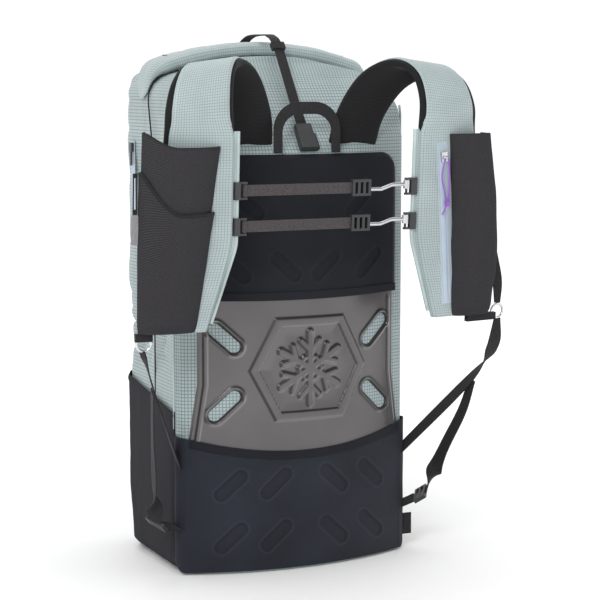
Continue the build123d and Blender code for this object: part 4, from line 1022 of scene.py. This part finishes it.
# ---------------------------------------------------------------- zip on the left strap
FACE = 6.6                     # how far the zip lies out from the strap's middle
ZIP_START, ZIP_END = np.array([30.0, -27.0]), np.array([46.0, -210.0])
ZIP_RUN = ZIP_END - ZIP_START
ZIP_LENGTH = float(np.hypot(*ZIP_RUN))
ZIP_ACROSS = ACROSS * (-ZIP_RUN[1] / ZIP_LENGTH) + UP * (ZIP_RUN[0] / ZIP_LENGTH)
ZIP_UP = np.cross(OUT, ZIP_ACROSS)
ZIP_AT = strap(*ZIP_START, FACE)


def on_zip(x, y, z):
    """Points from the zip's own directions: across it, up it and out of it."""
    x, y, z = (np.asarray(v, float)[..., None] for v in (x, y, z))
    return ZIP_AT + x * ZIP_ACROSS + y * ZIP_UP + z * OUT


def zip_strip(name, half, low, high, lift, crown, finish, node):
    """A thin strip along the zip, crowned in the middle, with a fold line at each side."""
    y = np.linspace(low, high, 150)[:, None]
    x = np.linspace(-half, half, 24)[None]
    edge = ease((half - np.abs(x)) / 1.6)
    z = lift * edge + crown * np.cos(x / half * math.pi / 2) - 0.3 * (1 - edge) + 0 * y
    return piece(name, on_zip(x + 0 * z, y + 0 * z, z), finish, wall=0.6, flip=True,
                 stands_for=[node], slot="zip_tape_pale")


def zip_teeth():
    """The coil under its film: a low ridge with a ripple for each turn."""
    y = np.linspace(-ZIP_LENGTH + 2, -4.0, 520)[:, None]
    x = np.linspace(-1.5, 1.5, 9)[None]
    z = 1.6 + np.cos(x / 1.5 * math.pi / 2) * (0.45 + 0.16 * np.sin(y * 2 * math.pi / 1.5))
    return piece("zip_teeth_strip", on_zip(x + 0 * z, y + 0 * z, z), teeth_grey, wall=0.4,
                 flip=True, slot="zip_tape_pale")


zip_strip("zip_panel_strip", 9.5, -ZIP_LENGTH, 12.0, 1.0, 0.0, zip_film, "left_zip_panel")
zip_strip("zip_tape_strip", 6.0, -ZIP_LENGTH, 1.0, 1.5, 0.25, zip_tape_pale, "left_zip_tape")
zip_teeth()

LEG_IN = ((0.0, 0.0), (-3.4, -10.0), (-4.2, -22.0), (-2.6, -34.0), (0.6, -45.0), (2.6, -53.0),
          (-0.6, -61.0), (-5.6, -67.0))
LEG_OUT = ((3.0, 0.0), (5.8, -10.0), (6.6, -22.0), (6.0, -34.0), (5.2, -45.0), (4.8, -53.0))
CORD_TOP, CORD_HIGH, CORD_LIE, CORD_SHIFT = -7.1, 9.6, 5.5, -1.5


def pull_cord(name, leg, node):
    """One leg of the zip's cord: a smooth spline over the slider's eye and down the strap."""
    leg = np.array(leg)
    drop = np.minimum(1.0, -leg[:, 1] / 22.0)
    points = on_zip(leg[:, 0] + CORD_SHIFT, CORD_TOP + leg[:, 1],
                    CORD_HIGH + (CORD_LIE - CORD_HIGH) * drop) * MM
    curve = bpy.data.curves.new(name, "CURVE")
    curve.dimensions = "3D"
    line = curve.splines.new("NURBS")
    line.points.add(len(points) - 1)
    for spot, place in zip(line.points, points):
        spot.co = (*place, 1.0)
    line.order_u = 3
    line.use_endpoint_u = True
    line.resolution_u = 10
    curve.bevel_depth = 0.9 * MM
    curve.bevel_resolution = 4
    curve.use_fill_caps = True
    curve.materials.append(cord_purple)
    obj = placed(name, curve)
    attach(obj, "zip_pull")
    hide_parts(node)


pull_cord("zip_cord_inner_leg", LEG_IN, "zip_cord_inner")
pull_cord("zip_cord_outer_leg", LEG_OUT, "zip_cord_outer")

# ---------------------------------------------------------------- webbing
def local(origin, x_dir, z_dir):
    """A small frame's point function from its origin and two directions."""
    x = unit(np.array(x_dir, float))
    z = unit(np.array(z_dir, float))
    y = np.cross(z, x)
    return lambda a, b, c: np.array(origin, float) + a * x + b * y + c * z, y


def lower_webs(side, mirrored, ring_foot, line, ladder_at, tail, lie):
    """Ring to sack, the tail down to the ladder lock, and the lock's anchor."""
    at, lock_across = local(ladder_at, (0.55, -0.62, 0.55), (0.62, -0.1, -0.73))
    facts = {"mirrored": mirrored, "slot": "webbing_black"}
    ribbon(f"{side}_lower_webbing", [ring_foot, *line], lie[:4], (9.0, *[WIDE_WEB] * 3),
           webbing_black, stands_for=[f"{side}_lower_web"], **facts)
    ribbon(f"{side}_adjust_webbing", [*tail, at(8.5, 0, 0)], [*lie[4:], lock_across], WIDE_WEB,
           webbing_black, stands_for=[f"{side}_adjust_web"], **facts)
    ribbon(f"{side}_anchor_webbing", [at(-8.5, 0, 0), (158, -90, 61), (148, -82, 55)],
           [lock_across] * 3, WIDE_WEB, webbing_black, count=30,
           stands_for=[f"{side}_anchor_web"], **facts)


lower_webs("left", False, strap(128.0, -234.5, 0),
           ((238, -158, 262), (222, -142, 226), (149, -84, 126)), (171, -99, 70),
           ((218, -143, 219), (208, -137, 180), (190, -122, 130)),
           [(0.95, 0.1, 0.15), (0.9, 0.1, 0.42), (0.6, 0, 0.8), (0.6, 0, 0.8),
            (0.2, 1, 0.3), (0.1, 1, 0.3), (0, 1, 0.3)])
lower_webs("right", True, strap(102.5, -247.1, 0),
           ((213, -157, 262), (196, -138, 226), (149, -84, 133)), (183, -100, 69),
           ((205, -150, 236), (199, -133, 180), (192, -118, 120)),
           [(0.4, 0.9, 0.1), (-0.2, 0.95, 0.2), (-0.2, 0.95, 0.3), (0, 0.9, 0.4),
            (-0.2, 0.97, 0.15), (-0.2, 0.97, 0.15), (-0.1, 0.97, 0.1)])

ribbon("left_ring_webbing", [strap(111, -118, -4), strap(121, -160, -4),
                             strap(127.5, -190, -3), strap(126.5, -216, 0)],
       [ACROSS] * 4, (8.0, 13.0, 14.0, 9.0), webbing_black, stands_for=["left_ring_web"],
       slot="webbing_black", count=50)
over = [(-108.7, 522.5), (-70, 575), (-31.9, 627.5), (-12, 640), (8, 642), (50, 641), (80, 630),
        (112, 614), (134, 590), (138, 545)]
ribbon("top_strap_webbing", [(5.0, y, z) for y, z in over], [(1, 0, 0)] * len(over), SLIM_WEB,
       webbing_black, count=140, stands_for=["top_strap"], slot="webbing_black")


HANDLE_Y, HANDLE_Z = -126.4, 502.0


def handle_loop():
    """Haul handle: webbing on edge round an arch of two legs, two corners and a top."""
    half, top, radius = 37.5, 52.5, 27.5
    turn = np.linspace(0, math.pi / 2, 16)
    legs = np.linspace(0, top - radius, 12)[:-1]
    level = np.linspace(half - radius, 0, 8)[1:]
    x = np.concatenate([half + 0 * legs, half - radius + radius * np.cos(turn), level])
    z = np.concatenate([legs, top - radius + radius * np.sin(turn), top + 0 * level])
    nx = np.concatenate([1 + 0 * legs, np.cos(turn), 0 * level])
    nz = np.concatenate([0 * legs, np.sin(turn), 1 + 0 * level])
    x, nx = (np.concatenate([v, -v[-2::-1]]) for v in (x, nx))
    z, nz = (np.concatenate([v, v[-2::-1]]) for v in (z, nz))
    path = np.stack([x, HANDLE_Y + 0 * x, HANDLE_Z + z], 1)
    rings = carried(path, np.stack([nx, 0 * nx, nz], 1), 11.5 + 3.0 * nz, 2.0, power=6.0, count=28)
    return tube("haul_handle_webbing", rings, webbing_black, body="handle",
                stands_for=["haul_handle"], slot="webbing_black")


handle_loop()

# ---------------------------------------------------------------- seams and small trim on the sack
for side, sign in (("left", 1.0), ("right", -1.0)):
    rise = np.linspace(175, 556, 40)
    line = skin(sign * (PLAN[0][BACK_POINTS + CORNER_POINTS] + 2), rise, 0.6)
    cordline(f"{side}_back_piping", line, 1.5, piping_pale, slot="piping_pale")
    rise = np.linspace(204, 590, 60)
    line = skin(sign * s_at_y(-12.0 + 18.0 * ease((rise - 480) / 110)), rise, 0.2)
    cordline(f"{side}_gusset_seam", line, 0.9, binding_black, slot="webbing_black")


# ---------------------------------------------------------------- stage, light and camera
def area_light(name, place, aim, size, power):
    """A soft box that points at the pack."""
    data = bpy.data.lights.new(name, "AREA")
    data.shape = "RECTANGLE"
    data.size, data.size_y = size
    data.energy = power
    lamp = placed(name, data)
    lamp.location = place
    lamp.rotation_euler = (Vector(aim) - Vector(place)).to_track_quat("-Z", "Y").to_euler()


area_light("key_box", (-1.5, -1.9, 1.7), (0, 0, 0.35), (0.9, 0.9), 34.0)
area_light("fill_box", (2.0, -1.4, 1.0), (0, 0, 0.35), (0.9, 1.4), 8.0)
area_light("top_box", (0.1, 0.1, 2.3), (0, 0, 0.3), (1.8, 1.8), 16.0)

# The world is white behind the pack and near the horizon, and dimmer above the harness side.
world = bpy.data.worlds.new("studio")
world.use_nodes = True
sky = Nodes(world.node_tree)
backdrop = world.node_tree.nodes["Background"].inputs
backdrop["Color"].default_value = (1.0, 1.0, 1.0, 1.0)
_, ray_y, ray_z = sky.parts("Generated")
harness_side = sky.span(ray_y, -0.35, 0.35, -0.61, 0.0)
above = sky.span(ray_z, 0.12, 0.35, 0.0, 1.0)
sky.feed(backdrop["Strength"], sky.math("MULTIPLY_ADD", harness_side, above, 1.03))
bpy.context.scene.world = world
bpy.context.scene.view_settings.view_transform = "Standard"

# The floor glows more the farther it is from the pack, so that it runs into the white.
floor_mesh = bpy.data.meshes.new("floor")
reach = 14.0
floor_mesh.from_pydata([(-reach, -reach, 0), (reach, -reach, 0), (reach, reach, 0),
                        (-reach, reach, 0)], [], [(0, 1, 2, 3)])
floor = placed("floor", floor_mesh)
pale = Finish("pale_floor", (0.93, 0.93, 0.93), 0.7)
pale.feed(pale.main["Base Color"], pale.tint(pale.noise(3.0), (0.92,) * 3, (0.94,) * 3))
pale.main["Emission Color"].default_value = (1.0, 1.0, 1.0, 1.0)
spread = pale.add("ShaderNodeVectorMath", {"operation": "LENGTH"}, i0=pale.body).outputs["Value"]
pale.feed(pale.main["Emission Strength"], pale.span(spread, 0.35, 1.5, 0.02, 0.42))
floor_mesh.materials.append(pale.material)

camera_data = bpy.data.cameras.new("camera")
camera_data.sensor_width = 36.0
camera_data.lens = 108.0
camera = placed("camera", camera_data)
camera.location = (-0.9048, -2.0470, 0.5881)
aim = Vector((0.018, -0.068, 0.32)) - camera.location
camera.rotation_euler = aim.to_track_quat("-Z", "Y").to_euler()
bpy.context.scene.camera = camera
